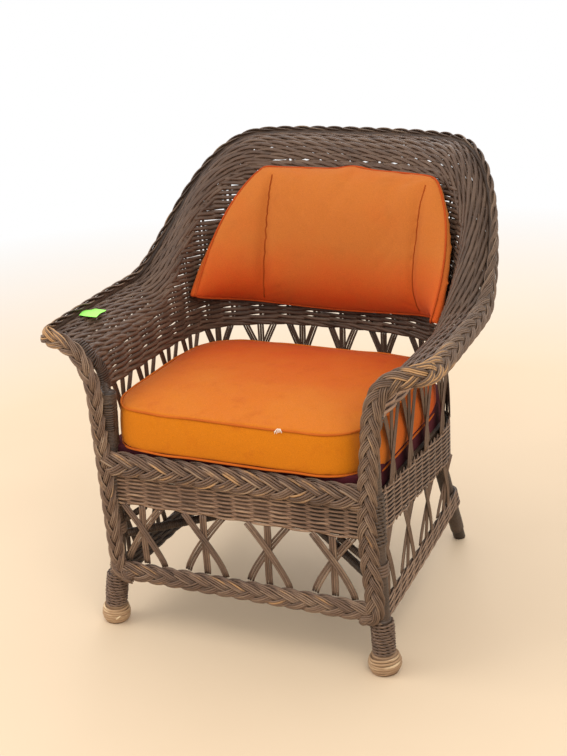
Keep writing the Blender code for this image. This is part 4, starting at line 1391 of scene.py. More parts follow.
@dataclass
class Skirt(Part):
    """Plain-woven bands round the seat: fine rows over and under wide-set stakes."""

    row_pitch: float = 0.0041
    stake_pitch: float = 0.039
    half: float = 0.0027
    depth: float = 0.0023
    front_top: float = 0.334

    def weave(
        self, mesh: PieceMesh, flat: Array, facing: Array, low: Array | float,
        high: Array | float, rows: int, spans: int,
    ) -> None:
        """Rows at equal levels between two heights, with the stakes that they go round.

        Args:
            mesh: takes the reeds.
            flat: x and y of the band's line in plan, shaped (n, 2).
            facing: outward directions in plan.
            low: height of its lower edge, alone or by point.
            high: height of its upper edge.
            rows: number of rows.
            spans: number of gaps between stakes.
        """
        steps = len(flat)
        row = np.arange(rows)[:, None]
        base = spots(flat[:, 0], flat[:, 1], low + (high - low) * (row + 0.5) / rows)
        out = np.broadcast_to(spots(facing[:, 0], facing[:, 1], 0.0), base.shape)
        turns = np.linspace(0, spans / 2, steps)[None] + 0.5 * (row % 2)
        mesh.add_reeds(over_under(base, out, turns, self.depth, self.half, self.rng))
        dark_sheet(mesh, base[0], base[-1], out[0])

    def round_band(self) -> None:
        """The skirt round the sides and the back, with stake ends along its edges."""
        mesh = PieceMesh()
        spans = round(SKIRT_PLAN.length() / self.stake_pitch)
        flat, facing = SKIRT_PLAN.read(np.linspace(0.0, 1.0, spans * 6))
        low, high = skirt_edges(flat[:, 1])
        self.weave(mesh, flat, facing, low, high, int((high - low).mean() / self.row_pitch), spans)
        self.stake_ends(mesh, spans * 2)
        dress(mesh.make("skirt_round_reeds", self.finishes.fine), "reed", "skirt_round")

    def stake_ends(self, mesh: PieceMesh, count: int) -> None:
        """Short slanted stake ends along the upper edge and the lower edge.

        Args:
            mesh: takes the reeds.
            count: number of ends along each edge.
        """
        s = (np.arange(count) + 0.5) / count
        towards_front = np.where(s < 0.5, -1.0, 1.0)
        flat, facing = SKIRT_PLAN.read(s, 0.0006)
        low, high = skirt_edges(flat[:, 1])
        for bottom, top, lean in ((high - 0.008, high + 0.0060, 0.007), (low - 0.0025, low + 0.007, 0.009)):
            shifted = np.clip(s - towards_front * lean / SKIRT_PLAN.length(), 0, 1)
            flat_top, _ = SKIRT_PLAN.read(shifted, 0.0006)
            first, last = spots(*flat.T, bottom), spots(*flat_top.T, top)
            points = np.stack([first, (first + last) / 2, last], 1)
            out = np.broadcast_to(spots(*facing.T, 0.0)[:, None], points.shape)
            tone = 0.5 + 0.1 * self.rng.standard_normal((count, 1))
            mesh.add_reeds(Reeds(points, out, 0.0034, 0.0024, tone, 0.1, 6, end=0.6))

    def front_band(self) -> None:
        """The woven band under the seat's front plait."""
        mesh = PieceMesh()
        rows = int((self.front_top - SKIRT_BOTTOM) / self.row_pitch)
        half = float(post_x(0.300, Side.RIGHT)) - POST_RADIUS + 0.001
        spans = round(2 * half / self.stake_pitch)
        line = spots(np.linspace(-half, half, spans * 7), FRONT_FACE_Y, 0.0)
        facing = np.broadcast_to(FRONTWARDS, line.shape)
        high = SKIRT_BOTTOM + rows * self.row_pitch
        self.weave(mesh, line[:, :2], facing, SKIRT_BOTTOM, high, rows, spans)
        dress(mesh.make("skirt_front_reeds", self.finishes.fine), "reed", "skirt_front")

    def build(self) -> None:
        """Makes both bands."""
        self.round_band()
        self.front_band()


def dark_sheet(mesh: PieceMesh, low: Array, high: Array, out: Array) -> None:
    """The stakes in the middle of a band, as a double sheet, dark with painted shade that shows between the
    rows.

    Args:
        mesh: takes the sheet.
        low: points of its lower row, in the order in which up crossed with along points outwards.
        high: points of its upper row.
        out: outward directions.
    """
    middle = low + (high - low) * np.linspace(0.04, 0.96, 5)[:, None, None]
    # The low tone is painted shade.
    mesh.add_grid((middle - out * 0.0005)[::-1], tone=0.12)
    mesh.add_grid(middle + out * 0.0005, tone=0.12)


def band_edges(share: Array) -> tuple[Array, Array]:
    """Lower and upper edge of a bottom side band: straight climbs less half sine arches."""
    arch = np.sin(math.pi * np.clip(share, 0, 1))
    return blend(0.080, 0.102, share) - 0.004 * arch, blend(0.130, 0.146, share) - 0.005 * arch


def band_x(share: Array) -> Array:
    """Distance of a bottom side band from the middle: it closes in on the rear leg."""
    return blend(SEAT_PLAN.half_width, 0.2671, share)


@dataclass
class BottomBand(Part):
    """The arched twined band between a front post and a rear leg, which ends round the leg."""

    side: Side
    rows: int = 4
    row_height: float = 0.0475 / 4
    turn: float = math.radians(100)

    def row_line(self, level: float) -> tuple[Array, Array]:
        """Middle line and outward directions of one row: a run to the leg and a part of an oval round it.

        Args:
            level: share of the way up the band.

        Returns:
            Points and directions.
        """
        share = np.linspace(0, 1, 110)
        low, high = band_edges(share)
        x, y, z = band_x(share), blend(BAND_START, BAND_STOP, share), low + (high - low) * level
        leg_y = rear_leg_y(z[-1])
        before = y < leg_y
        radius = x[-1] - REAR_LEG_X + 0.0006
        angle = np.linspace(0, self.turn, 26)
        run = spots(x[before], y[before], z[before])
        bend = spots(REAR_LEG_X + radius * np.cos(angle), leg_y + radius * 1.1 * np.sin(angle), z[-1])
        line = np.concatenate([run, bend])
        round_leg = spots(np.cos(angle), np.sin(angle), 0.0)
        out = np.concatenate([np.tile((1.0, 0.0, 0.0), (len(run), 1)), round_leg])
        mirror = (self.side.value, 1, 1)
        line, out = resample(line * mirror, 130, out * mirror)
        return line, unit(out)

    def build(self) -> None:
        """Makes the rows and the stakes inside them."""
        mesh = PieceMesh()
        thick = self.row_height
        twine = Twine(3, thick * 0.24, 0.0026, thick * 0.31, 0.0021, hand=-self.side.value)
        for row in range(self.rows):
            line, out = self.row_line((row + 0.5) / self.rows)
            turns = np.linspace(0, 4.2, len(line)) + 0.31 * row
            mesh.add_reeds(twine.wind(line, out, turns, self.rng, wear=0.07))
        share = np.linspace(0.0, 0.97, 40)
        x, y = self.side.value * band_x(share), blend(BAND_START, BAND_STOP, share)
        low, high = (spots(x, y, z)[:: -self.side.value] for z in band_edges(share))
        dark_sheet(mesh, low, high, np.array([self.side.value, 0.0, 0.0]))
        name = f"bottom_band_{self.side.tag}"
        dress(mesh.make(f"{name}_reeds", self.finishes.reed), "reed", name)


def post_x(height: Array | float, side: Side) -> Array:
    """Middle of a front post, which leans in as it rises. The left one has bent inwards above its foot."""
    foot, bend = (0.290, 0.0150) if side is Side.LEFT else (0.294, 0.0)
    return side.value * (foot - 0.035 * height - bend * smooth_step(np.asarray(height) / 0.18))


@dataclass
class FrontPost(Part):
    """A front post with its cane, the coarse turns beside the skirt and above the foot, and the ball foot."""

    side: Side
    top: float = 0.500
    core: float = POST_RADIUS - 0.0026
    leg_radius: float = 0.0178
    ball_radius: float = 0.0238

    def spine(self, low: float, high: float, count: int = 24) -> Array:
        """Points up the middle of the post."""
        z = np.linspace(low, high, count)
        return spots(post_x(z, self.side), SEAT_FRONT, z)

    def twisted_turns(
        self, mesh: PieceMesh, low: float, high: float, radius: Array | float, pitch: float, wear: float,
        thick: float = 0.0019,
    ) -> None:
        """Turns round the post of two reeds that twist round each other like a cord.

        Args:
            mesh: takes the reeds.
            low: height of the lowest turn.
            high: height of the highest turn.
            radius: radius of the post there, alone or by height.
            pitch: distance from turn to turn.
            wear: how rubbed they are.
            thick: half the thickness of one reed.
        """
        turn = wrap(self.spine(low, high), radius, pitch, thick, self.rng, 26)
        line, out = turn.points[0], turn.outward[0]
        twine = Twine(2, pitch * 0.22, thick * 0.62, pitch * 0.30, thick)
        mesh.add_reeds(twine.wind(line, out, path_length(line) / 0.021, self.rng, wear=wear))

    def pole(self) -> None:
        """The pole, the cane round it, and the coarse turns where the skirt meets it."""
        mesh = PieceMesh()
        mesh.add_reeds(rod(self.spine(0.0, self.top), self.core, 14))
        mesh.add_reeds(wrap(self.spine(0.100, self.top - 0.001), self.core, 0.0030, 0.0010, self.rng, 12))
        self.twisted_turns(mesh, 0.262, 0.360, self.core + 0.0012, 0.0078, 0.08)
        name = f"front_post_{self.side.tag}"
        dress(mesh.make(f"{name}_cane", self.finishes.cane), "wrapped_pole", name)

    def leg_wrap(self) -> None:
        """Coarse twisted turns between the ball foot and the bottom border."""
        mesh = PieceMesh()
        swell = self.leg_radius + 0.0010 * np.sin(np.linspace(0, math.pi, 24))
        self.twisted_turns(mesh, 0.0405, 0.1085, swell, 0.0066, 0.14)
        mesh.add_reeds(rod(self.spine(0.038, 0.110), self.leg_radius, 14, tone=0.15))
        name = f"leg_wrap_{self.side.tag}"
        dress(mesh.make(f"{name}_turns", self.finishes.plait), "wrapped_pole", name)

    def ball_foot(self) -> None:
        """Ball of rubbed reed turns, flat where it stands, with its radius from a squashed circle."""
        mesh = PieceMesh()
        large = 1.16 if self.side is Side.RIGHT else 1.02
        place = np.linspace(-0.90, 0.95, 40)
        ball = large * self.ball_radius * np.sqrt(1 - 0.40 * place**2) - 0.0004
        turn = wrap(self.spine(0.0046, 0.0360, 40), ball, 0.0052, 0.0022, self.rng, 30, sides=6, fill=0.55)
        count = turn.points.shape[1]
        turn.points[..., 2] += 0.0010 * wander(self.rng, 1, count, 22)
        turn.points[..., 2] = np.maximum(turn.points[..., 2], 0.0036)
        turn.wear = 0.18 + 0.26 * wander(self.rng, 1, count, 18)
        mesh.add_reeds(turn)
        mesh.add_reeds(rod(self.spine(0.0006, 0.038), 0.0215 * large, 16, tone=0.3))
        if self.side is Side.LEFT:
            self.chip(mesh, self.ball_radius * large)
        name = f"ball_foot_{self.side.tag}"
        dress(mesh.make(f"{name}_turns", self.finishes.foot), "bare_reed", name)

    def chip(self, mesh: PieceMesh, radius: float) -> None:
        """A bright splinter of bare reed on the front of the foot.

        Args:
            mesh: takes the reed.
            radius: radius of the foot.
        """
        share = np.linspace(0, 1, 6)
        angle = math.radians(-62) + 0.30 * share
        reach = radius + 0.0040 + 0.0015 * share
        centre = self.spine(0.014, 0.018, 6)
        points = centre + spots(reach * np.cos(angle), reach * np.sin(angle), 0.003 * share)
        mesh.add_reeds(Reeds(points[None], unit(points - centre)[None], 0.0016, 0.0009, 1.0, 1.6, 5))

    def build(self) -> None:
        """Makes all pieces of the post."""
        self.pole()
        self.leg_wrap()
        self.ball_foot()


@dataclass
class LevelPlaits(Part):
    """The plaits along the seat's front and along the bottom in front."""

    def one(self, node: str, low: float, high: float, plait: Plait, stand_off: float) -> None:
        """A level plait between the two posts.

        Args:
            node: the node that it stands for.
            low: height of its lower edge.
            high: height of its upper edge.
            plait: its proportions.
            stand_off: distance of its middle in front of the front face's middle.
        """
        height = (low + high) / 2
        half = float(post_x(height, Side.RIGHT)) - 0.012
        path = spots(np.linspace(half, -half, 160), FRONT_FACE_Y - stand_off, height)
        across = np.broadcast_to((0.0, 0.0, 1.0), path.shape)
        out = np.broadcast_to(FRONTWARDS, path.shape)

        def rubbed(_: Array, lift: Array) -> Array:
            """It is worn evenly, and more where it stands out."""
            return 0.12 + 0.12 * lift

        mesh = PieceMesh()
        mesh.add_reeds(plait.lay(path, across, out, self.rng, None, rubbed, curl=0.007))
        core = rod(spots(path[::8, 0], FRONT_FACE_Y, height), 0.004, 8)
        core.half_depth = (high - low) * 0.36
        mesh.add_reeds(core)
        dress(mesh.make(f"{node}_reeds", self.finishes.plait), "plait", node)

    def build(self) -> None:
        """Makes both plaits."""
        self.one("seat_plait", 0.330, 0.386, Plait(0.053, 0.0050, 0.0395, 4, 0.0050), 0.013)
        self.one("bottom_plait", 0.107, 0.147, Plait(0.042, 0.0046, 0.0370, 4, 0.0042), 0.012)


@dataclass
class Lattice(Part):
    """Open lattices of three crossing staves in each group, each stave a flat run of three reeds."""

    reed_width: float = 0.0050
    layer: float = 0.0026
    levels: int = 14

    def group(
        self, name: str, low: Callable, high: Callable, facing: Callable, along: float,
        bottom_spread: float, top_spread: float,
    ) -> None:
        """Three staves that cross, between a lower and an upper edge.

        A stave's place along the lattice goes from minus the lower spread to plus the upper spread, as the
        level to the power 1.25, and its three reeds lie side by side.

        Args:
            name: the node that the group stands for.
            low: points of the lower edge by place along it.
            high: points of the upper edge.
            facing: outward directions.
            along: the group's place.
            bottom_spread: reach of the leaning staves below.
            top_spread: reach of the leaning staves above.
        """
        count = self.levels
        level = np.linspace(-0.012, 1.012, count)
        lean = (bottom_spread + top_spread) * np.sign(level) * np.abs(level) ** 1.25 - bottom_spread
        mesh = PieceMesh()
        for way in (0, 1, -1):
            at = along + way * lean
            bottom, top, out = low(at), high(at), facing(at)
            centre = bottom + (top - bottom) * level[:, None] - out * way * self.layer
            bow = 0.0010 * wander(self.rng, 1, count, 1.0)[0]
            square = unit(np.cross(tangents(centre[None])[0], out))
            centre = centre + square * bow[:, None]
            place = (np.arange(3) - 1)[:, None, None] * self.reed_width
            uneven = 0.0002 * wander(self.rng, 3, count, 2)[..., None]
            points = centre[None] + square[None] * (place + uneven)
            tone = 0.5 + 0.16 * self.rng.standard_normal((3, 1)) + 0.05 * wander(self.rng, 3, count, 2)
            out = np.broadcast_to(out, points.shape)
            mesh.add_reeds(Reeds(points, out, self.reed_width / 2, 0.0016, tone, 0.05, 6, end=0.9))
        dress(mesh.make(f"{name}_reeds", self.finishes.plait), "stave", name)

    def upper(self) -> None:
        """Fifteen groups between the skirt and the wall, all round."""
        dense = np.linspace(0, 1, 401)
        flat, out = SEAT_PLAN.read(dense)
        length = path_length(flat)
        bottoms = wall_bottom(dense)

        def read(at: Array, values: Array) -> tuple[Array, ...]:
            """The two columns of values at distances along the seat's U."""
            return np.interp(at, length, values[:, 0]), np.interp(at, length, values[:, 1])

        def low(at: Array) -> Array:
            """Points on the skirt's upper edge."""
            x, y = read(at, flat)
            return spots(x, y, skirt_edges(y)[1] + CLEARANCE)

        def high(at: Array) -> Array:
            """Points just inside the wall's lower edge."""
            return spots(*read(at, flat), np.interp(at, length, bottoms) + 0.002)

        def facing(at: Array) -> Array:
            """Outward directions."""
            return unit(spots(*read(at, out), 0.0))

        for number in range(1, 16):
            at = length[-1] * number / 16
            self.group(f"upper_staves_{number:02d}", low, high, facing, at, 0.017, 0.030)

    def front(self) -> None:
        """Four groups between the bottom plait and the front skirt."""

        def facing(at: Array) -> Array:
            """Outward directions."""
            return np.broadcast_to(FRONTWARDS, (len(at), 3))

        def edge(height: float) -> Callable:
            """Points at a height by their place across."""
            return lambda at: spots(at, FRONT_FACE_Y, height)

        half = float(post_x(SKIRT_BOTTOM, Side.RIGHT)) - POST_RADIUS
        pitch = 2 * half / 4
        for number in range(4):
            self.group(
                f"front_staves_{number + 1}", edge(BOTTOM_PLAIT_TOP), edge(LATTICE_TOP), facing,
                -half + pitch * (number + 0.5), 0.042, 0.040,
            )

    def sides(self, side: Side) -> None:
        """Four groups between a bottom band and the skirt.

        Args:
            side: the side of the chair.
        """

        def low(at: Array) -> Array:
            """Points on the bottom band's upper edge."""
            share = (at - BAND_START) / (BAND_STOP - BAND_START)
            return spots(side.value * band_x(share), at, band_edges(share)[1])

        def high(at: Array) -> Array:
            """Points on the skirt's lower edge."""
            return spots(side.value * SEAT_PLAN.half_width, at, skirt_edges(at)[0] - CLEARANCE)

        def facing(at: Array) -> Array:
            """Outward directions."""
            return np.broadcast_to((float(side.value), 0.0, 0.0), (len(at), 3))

        first, last = SKIRT_PLAN.front + 0.042, SKIRT_PLAN.bend + 0.042
        for number in range(4):
            along = first + (last - first) * number / 3
            self.group(f"side_staves_{side.tag}_{number + 1}", low, high, facing, along, 0.030, 0.030)

    def build(self) -> None:
        """Makes all 27 groups."""
        self.upper()
        self.front()
        for side in Side:
            self.sides(side)


@dataclass
class UnderFrame(Part):
    """Rear legs, crossed bars and corner braces, all wrapped, and the hoop and rail of the seat."""

    bar_height: float = 0.194
    bar_drop: float = 0.0173
    leg_splay: float = 0.008

    def wrapped_pole(
        self, node: str, path: Array, radius: float, pitch: float, first: float = 0.0,
        side: tuple[float, float, float] = (0, 1, 0), wear: float = 0.0,
    ) -> None:
        """A pole with cane round it, whose lower end is level at the floor.

        Args:
            node: the node that it stands for.
            path: its middle line.
            radius: its outer radius.
            pitch: distance from turn to turn.
            first: share of its length at which the cane begins.
            side: a direction across it.
            wear: how rubbed the cane is.
        """
        mesh = PieceMesh()
        path = resample(path, 60)[0]
        core = radius - 0.0022
        mesh.add_reeds(rod(path, core, 12, tone=0.35, wear=wear))
        mesh.points[-1][:, 2] = np.maximum(mesh.points[-1][:, 2], 0.0004)
        mesh.add_reeds(wrap(path[int(first * 59) :], core, pitch, 0.0009, self.rng, 10, side, wear))
        dress(mesh.make(f"{node}_wrapped", self.finishes.cane), "wrapped_pole", node)

    def rear_leg(self, side: Side) -> None:
        """A raked rear leg with a plain end.

        Args:
            side: the side of the chair.
        """
        low, top = 0.0007, ROD_HEIGHT - 0.0113
        foot = np.array([side.value * (REAR_LEG_X + self.leg_splay), rear_leg_y(low), low])
        head = np.array([side.value * REAR_LEG_X, rear_leg_y(top), top])
        self.wrapped_pole(
            f"rear_leg_{side.tag}", straight(foot, head, 60), 0.0155, 0.0042, 0.10, (1, 0, 0), 0.05
        )

    def cross_bar(self, tag: str, side: Side, height: float) -> None:
        """A bar from a front post to the opposite rear leg.

        Args:
            tag: ending of its name.
            side: the side of the front post.
            height: its height.
        """
        start = np.array([float(post_x(height, side)), SEAT_FRONT, height])
        end = np.array([-side.value * REAR_LEG_X, rear_leg_y(height), height])
        way = unit(end - start)
        path = straight(start + way * (POST_RADIUS + CLEARANCE), end - way * 0.022, 40)
        self.wrapped_pole(f"cross_bar_{tag}", path, 0.0092, 0.0044, 0.0, (0, 0, 1), 0.16)

    def corner_brace(self, side: Side) -> None:
        """A short strut from a front post up to the skirt, with its binding on the post.

        Args:
            side: the side of the chair.
        """
        low = LATTICE_TOP - 0.055
        inner = float(post_x(low, Side.RIGHT)) - POST_RADIUS - CLEARANCE
        y = FRONT_FACE_Y + 0.0166
        foot = np.array([side.value * inner, y, low])
        head = np.array([side.value * (inner - 0.065), y, LATTICE_TOP - 0.009])
        self.wrapped_pole(f"corner_brace_{side.tag}", straight(foot, head, 20), 0.0070, 0.0040)
        mesh = PieceMesh()
        z = np.linspace(low - 0.013, low + 0.013, 12)
        spine = spots(post_x(z, side), SEAT_FRONT, z)
        turns = wrap(spine, POST_RADIUS - 0.0005, 0.0062, 0.0018, self.rng, 20, sides=6, fill=0.5, wear=0.12)
        mesh.add_reeds(turns)
        dress(mesh.make(f"brace_binding_{side.tag}", self.finishes.plait), "wrapped_pole")

    def build(self) -> None:
        """Makes the poles, and gives the hoop and the rail their wood."""
        for side in Side:
            self.rear_leg(side)
            self.corner_brace(side)
        self.cross_bar("upper", Side.LEFT, self.bar_height)
        self.cross_bar("lower", Side.RIGHT, self.bar_height - self.bar_drop)
        for node in ("seat_hoop", "front_rail"):
            for slot in bpy.data.objects[node].material_slots:
                slot.material = self.finishes.rod


def closed_tube(path: Array, radius: float, sides: int = 8) -> Reeds:
    """A cord that closes on itself, for piping."""
    centre = path.mean(axis=0)
    return Reeds(path[None], unit(path - centre)[None], radius, radius, 0.5, 0.0, sides, closed=True)


@dataclass
class Cushions(Part):
    """The seat cushion and the back cushion, puffed by cloth simulation between their piped seams."""

    voxel: float = 0.0062
    pressure: float = 4.0
    frames: int = 20
    seam_reach: float = 0.007
    seat_bottom: float = 0.3880
    seat_side: float = 0.0815
    seat_half: float = 0.2635
    seat_front: float = -0.2885
    seat_back: float = 0.1790
    off_wall: float = 0.0085

    def puff(self, obj: Object, pinned: Array, cap: float) -> None:
        """Remeshes a closed shape, blows it up as cloth with its seams held, and smooths it once.

        Args:
            obj: the closed shape.
            pinned: points of the seams, shaped (n, 3).
            cap: how far any point may move.
        """
        remesh = obj.modifiers.new("remesh", "REMESH")
        remesh.mode = "VOXEL"
        remesh.voxel_size = self.voxel
        self.apply(obj)
        count = len(obj.data.vertices)
        rest = np.zeros(count * 3, np.float32)
        obj.data.vertices.foreach_get("co", rest)
        rest = rest.reshape(-1, 3)
        near = np.full(count, 1e9)
        for part in np.array_split(pinned, 8):
            gap = np.linalg.norm(rest[:, None] - part[None], axis=-1).min(axis=1)
            near = np.minimum(near, gap)
        hold = np.clip(1.6 - near / self.seam_reach, 0, 1)
        group = obj.vertex_groups.new(name="seams")
        for weight in (0.3, 0.6, 1.0):
            chosen = np.nonzero(hold >= weight)[0].tolist()
            if chosen:
                group.add(chosen, weight, "REPLACE")
        cloth = obj.modifiers.new("cloth", "CLOTH")
        cloth.settings.use_pressure = True
        cloth.settings.uniform_pressure_force = self.pressure
        cloth.settings.vertex_group_mass = "seams"
        cloth.settings.effector_weights.gravity = 0
        cloth.settings.quality = 4
        cloth.settings.tension_stiffness = 12
        cloth.settings.bending_stiffness = 0.6
        cloth.point_cache.frame_start = 1
        cloth.point_cache.frame_end = self.frames
        scene = bpy.context.scene
        for frame in range(1, self.frames + 1):
            scene.frame_set(frame)
        self.apply(obj)
        moved = np.zeros(count * 3, np.float32)
        obj.data.vertices.foreach_get("co", moved)
        shift = moved.reshape(-1, 3) - rest
        size = np.linalg.norm(shift, axis=1, keepdims=True)
        shift *= np.minimum(1, cap / np.maximum(size, 1e-9))
        obj.data.vertices.foreach_set("co", (rest + shift).ravel())
        obj.vertex_groups.clear()
        scene.frame_set(1)
        obj.data.polygons.foreach_set("use_smooth", np.ones(len(obj.data.polygons), bool))
        smooth = obj.modifiers.new("smooth", "SMOOTH")
        smooth.factor = 0.5
        smooth.iterations = 2
        finer = obj.modifiers.new("finer", "SUBSURF")
        finer.levels = finer.render_levels = 1
        self.apply(obj)

    @staticmethod
    def apply(obj: Object) -> None:
        """Leaves one plain mesh where modifiers were."""
        graph = bpy.context.evaluated_depsgraph_get()
        graph.update()
        made = bpy.data.meshes.new_from_object(
            obj.evaluated_get(graph), preserve_all_data_layers=False, depsgraph=graph
        )
        obj.modifiers.clear()
        old = obj.data
        obj.data = made
        if old.users == 0:
            bpy.data.meshes.remove(old)

    def seat_ring(self, share: float, height: float, count: int, ripple: float = 0.0) -> Array:
        """A ring round the seat cushion: a superellipse in plan, let down and pushed out as the cushion is.

        Args:
            share: its size as a share of the cushion's.
            height: its height above the cushion's lower seam.
            count: number of points.
            ripple: height of its slow unevenness.

        Returns:
            The points, shaped (count, 3).
        """
        turn = np.arange(count) * FULL_TURN / count
        across, deep = np.cos(turn), np.sin(turn)
        power = 2 / 6.5
        half_y, centre_y = (self.seat_back - self.seat_front) / 2, (self.seat_front + self.seat_back) / 2
        x = np.sign(across) * np.abs(across) ** power * (self.seat_half * share)
        y = centre_y + np.sign(deep) * np.abs(deep) ** power * (half_y * share)
        z = self.seat_bottom + height
        # The worn filling has gone flat towards the back, and the lower edges hang over the deck's sides.
        above = np.clip((z - self.seat_bottom) / (self.seat_side + 0.02), 0, 1)
        beside = smooth_step((np.abs(x) - 0.232) / 0.030) * smooth_step((y + 0.255) / 0.06)
        sag = 0.010 * smooth_step(y / 0.17) * above + 0.016 * beside * (1 - above)
        # The sides push out between the posts and the back.
        out = smooth_step((np.abs(x) - 0.20) / 0.06) * smooth_step((y + 0.255) / 0.07)
        uneven = ripple * (np.sin(x * 60) + 0.75 * np.sin(y * 75))
        return spots(x + 0.009 * np.sign(x) * out, y, z - sag + uneven)

    def seat(self) -> None:
        """Box cushion: flat below, sides drawn in between the piped seams, and a crown that dips behind."""
        side = self.seat_side
        sections = (
            (0.02, 0.0), (0.50, 0.0), (0.93, 0.001), (0.990, 0.002), (1.002, 0.008), (1.004, side * 0.30),
            (1.000, side * 0.62), (0.990, side * 0.93), (0.980, side + 0.001), (0.94, side + 0.007),
            (0.80, side + 0.016), (0.55, side + 0.023), (0.28, side + 0.026), (0.02, side + 0.027),
        )
        grid = np.stack([self.seat_ring(share, height, 180) for share, height in sections])
        mesh = PieceMesh()
        mesh.add_grid(grid[:, ::-1], wrap=True)
        mesh.add_caps(np.stack([grid[0], grid[-1][::-1]]))
        shape = mesh.make("seat_cushion_velour", self.finishes.seat)
        low_and_high = ((0.997, 0.003), (0.984, side + 0.001))
        seams = [self.seat_ring(share, height, 320, 0.0008) for share, height in low_and_high]
        self.puff(shape, np.concatenate(seams) + ORIGIN, 0.012)
        dress(shape, "cover", "seat_cushion")
        cord = PieceMesh()
        for seam in seams:
            cord.add_reeds(closed_tube(resample(np.concatenate([seam, seam[:1]]), 321)[0][:-1], 0.0023))
        dress(cord.make("seat_cushion_piping", self.finishes.seat_piping), "cover")
        self.tuft()

    def tuft(self) -> None:
        """A few loose white threads on the front seam."""
        mesh = PieceMesh()
        count = 9
        share = np.linspace(0, 1, 8)[None]
        spread = self.rng.uniform(-1, 1, (count, 1))
        curl = self.rng.uniform(0.3, 1.0, (count, 1))
        x, y, z = 0.1085, -0.2870, 0.4745
        points = spots(
            x + 0.004 * spread + 0.010 * spread * share, y - 0.004 * share, z - 0.012 * curl * share**1.5
        )
        mesh.add_reeds(Reeds(points, np.broadcast_to(FRONTWARDS, points.shape), 0.0006, 0.0006, 0.5, 0.0, 4))
        dress(mesh.make("loose_seam_threads", self.finishes.thread), "cover")

    def back_rest(self, u: Array, v: Array) -> tuple[Array, Array]:
        """Points of the wall behind the back cushion, and the directions away from it.

        Args:
            u: places across the cushion from -1 to 1.
            v: places up it from 0 to 1.

        Returns:
            Points on the wall's middle surface and unit directions towards the sitter.
        """
        shares = 0.5 + u * self.back_width(u, v)
        low = 0.060 + 0.062 * u**2 + 0.118 * np.abs(u) ** 7
        # The upper edge has a soft peak near the middle and one at each corner.
        high = 0.590 + 0.020 * np.exp(-(((u - 0.10) / 0.14) ** 2)) + 0.014 * np.abs(u) ** 8
        heights = low + (high - low) * v
        points, out = sheet_frame(wall_sheet, shares, heights, (0.01, 0.02))
        return points, -out

    @staticmethod
    def back_width(u: Array, v: Array) -> Array:
        """Share of the rim's length from the back cushion's middle to its side.

        Args:
            u: places across, of which only the sign counts.
            v: places up it.

        Returns:
            The shares.
        """
        belly = np.sin(math.pi * v)
        return np.where(u < 0, blend(0.252, 0.110, v) - 0.010 * belly, blend(0.262, 0.139, v) + 0.005 * belly)

    def back_seams(self, v: Array) -> Array:
        """Places of the back cushion's two sewn seams.

        Args:
            v: places up it.

        Returns:
            Places from -1 to 1 across it, shaped (2, n).
        """
        left = blend(-0.114, -0.0955, v) / self.back_width(np.full(v.shape, -1.0), v)
        right = (blend(0.145, 0.130, v) + 0.002 * np.sin(math.pi * v)) / self.back_width(np.ones(v.shape), v)
        return np.stack([left, right])

    def back_thickness(self, u: Array, v: Array) -> Array:
        """Thickness of the back cushion: full in the middle, thin at its edges, and drawn in along its seams.

        Args:
            u: places across it.
            v: places up it.

        Returns:
            The thickness at each.
        """
        full = (1 - np.abs(u) ** 6) * (1 - np.abs(2 * v - 1) ** 6)
        thick = 0.019 + 0.042 * full
        run = self.back_width(u, v)
        for seam in self.back_seams(v):
            off = np.abs(u - seam) * run
            drawn = 0.012 * np.exp(-((off / 0.0110) ** 2)) + 0.010 * np.exp(-((off / 0.0028) ** 2))
            thick = thick - drawn * smooth_step((0.99 - v) / 0.15) * full
        # Slack folds fan out from the upper corner and the middle.
        folds = (0.18, -0.55, 0.0050, 0.35), (0.62, -0.30, 0.0040, 0.45), (-0.45, 0.4, 0.0035, 0.5)
        for place, slant, size, start in folds:
            near = np.exp(-(((u - place - slant * (1 - v)) / 0.06) ** 2)) * smooth_step((v - start) / 0.4)
            thick = thick - size * near
        return thick

    def back(self) -> None:
        """Cushion laid on the wall: thick in the middle, thin piped edges, and a seam down either side."""
        u, v = np.meshgrid(np.linspace(-1, 1, 261), np.linspace(0, 1, 71), indexing="ij")
        rest, inward = self.back_rest(u, v)
        front = rest + inward * (self.off_wall + self.back_thickness(u, v))[..., None]
        behind = rest + inward * self.off_wall
        mesh = PieceMesh()
        mesh.add_grid(front[::-1])
        mesh.add_grid(behind)
        rims = (
            (front[:, 0], behind[:, 0]), (behind[:, -1], front[:, -1]),
            (behind[0], front[0]), (front[-1], behind[-1]),
        )
        for rim in rims:
            mesh.add_grid(np.stack(rim))
        shape = mesh.make("back_cushion_velour", self.finishes.back)
        weld_outwards(shape)
        edge_u = np.concatenate([np.linspace(-1, 1, 120), np.ones(80), np.linspace(1, -1, 120), -np.ones(80)])
        edge_v = np.concatenate([np.zeros(120), np.linspace(0, 1, 80), np.ones(120), np.linspace(1, 0, 80)])
        base, way = self.back_rest(edge_u, edge_v)
        seam = base + way * (self.off_wall + 0.017)
        heights = np.linspace(0.03, 0.90, 70)
        # Lines along the two seams: they hold the cloth while it puffs, and afterwards carry the lines of
        # painted shade.
        threads = []
        for place in self.back_seams(heights):
            ground, towards = self.back_rest(place, heights)
            threads.append(ground + towards * (self.off_wall + self.back_thickness(place, heights))[:, None])
        self.puff(shape, np.concatenate([seam, *threads]) + ORIGIN, 0.010)
        dress(shape, "cover", "back_cushion")
        loop = resample(np.concatenate([seam, seam[:1]]), 361)[0][:-1]
        for _ in range(6):
            loop = (np.roll(loop, 1, axis=0) + 2 * loop + np.roll(loop, -1, axis=0)) / 4
        cord = PieceMesh()
        cord.add_reeds(closed_tube(loop, 0.0022))
        dress(cord.make("back_cushion_piping", self.finishes.back_piping), "cover")
        self.stitches(shape, threads)

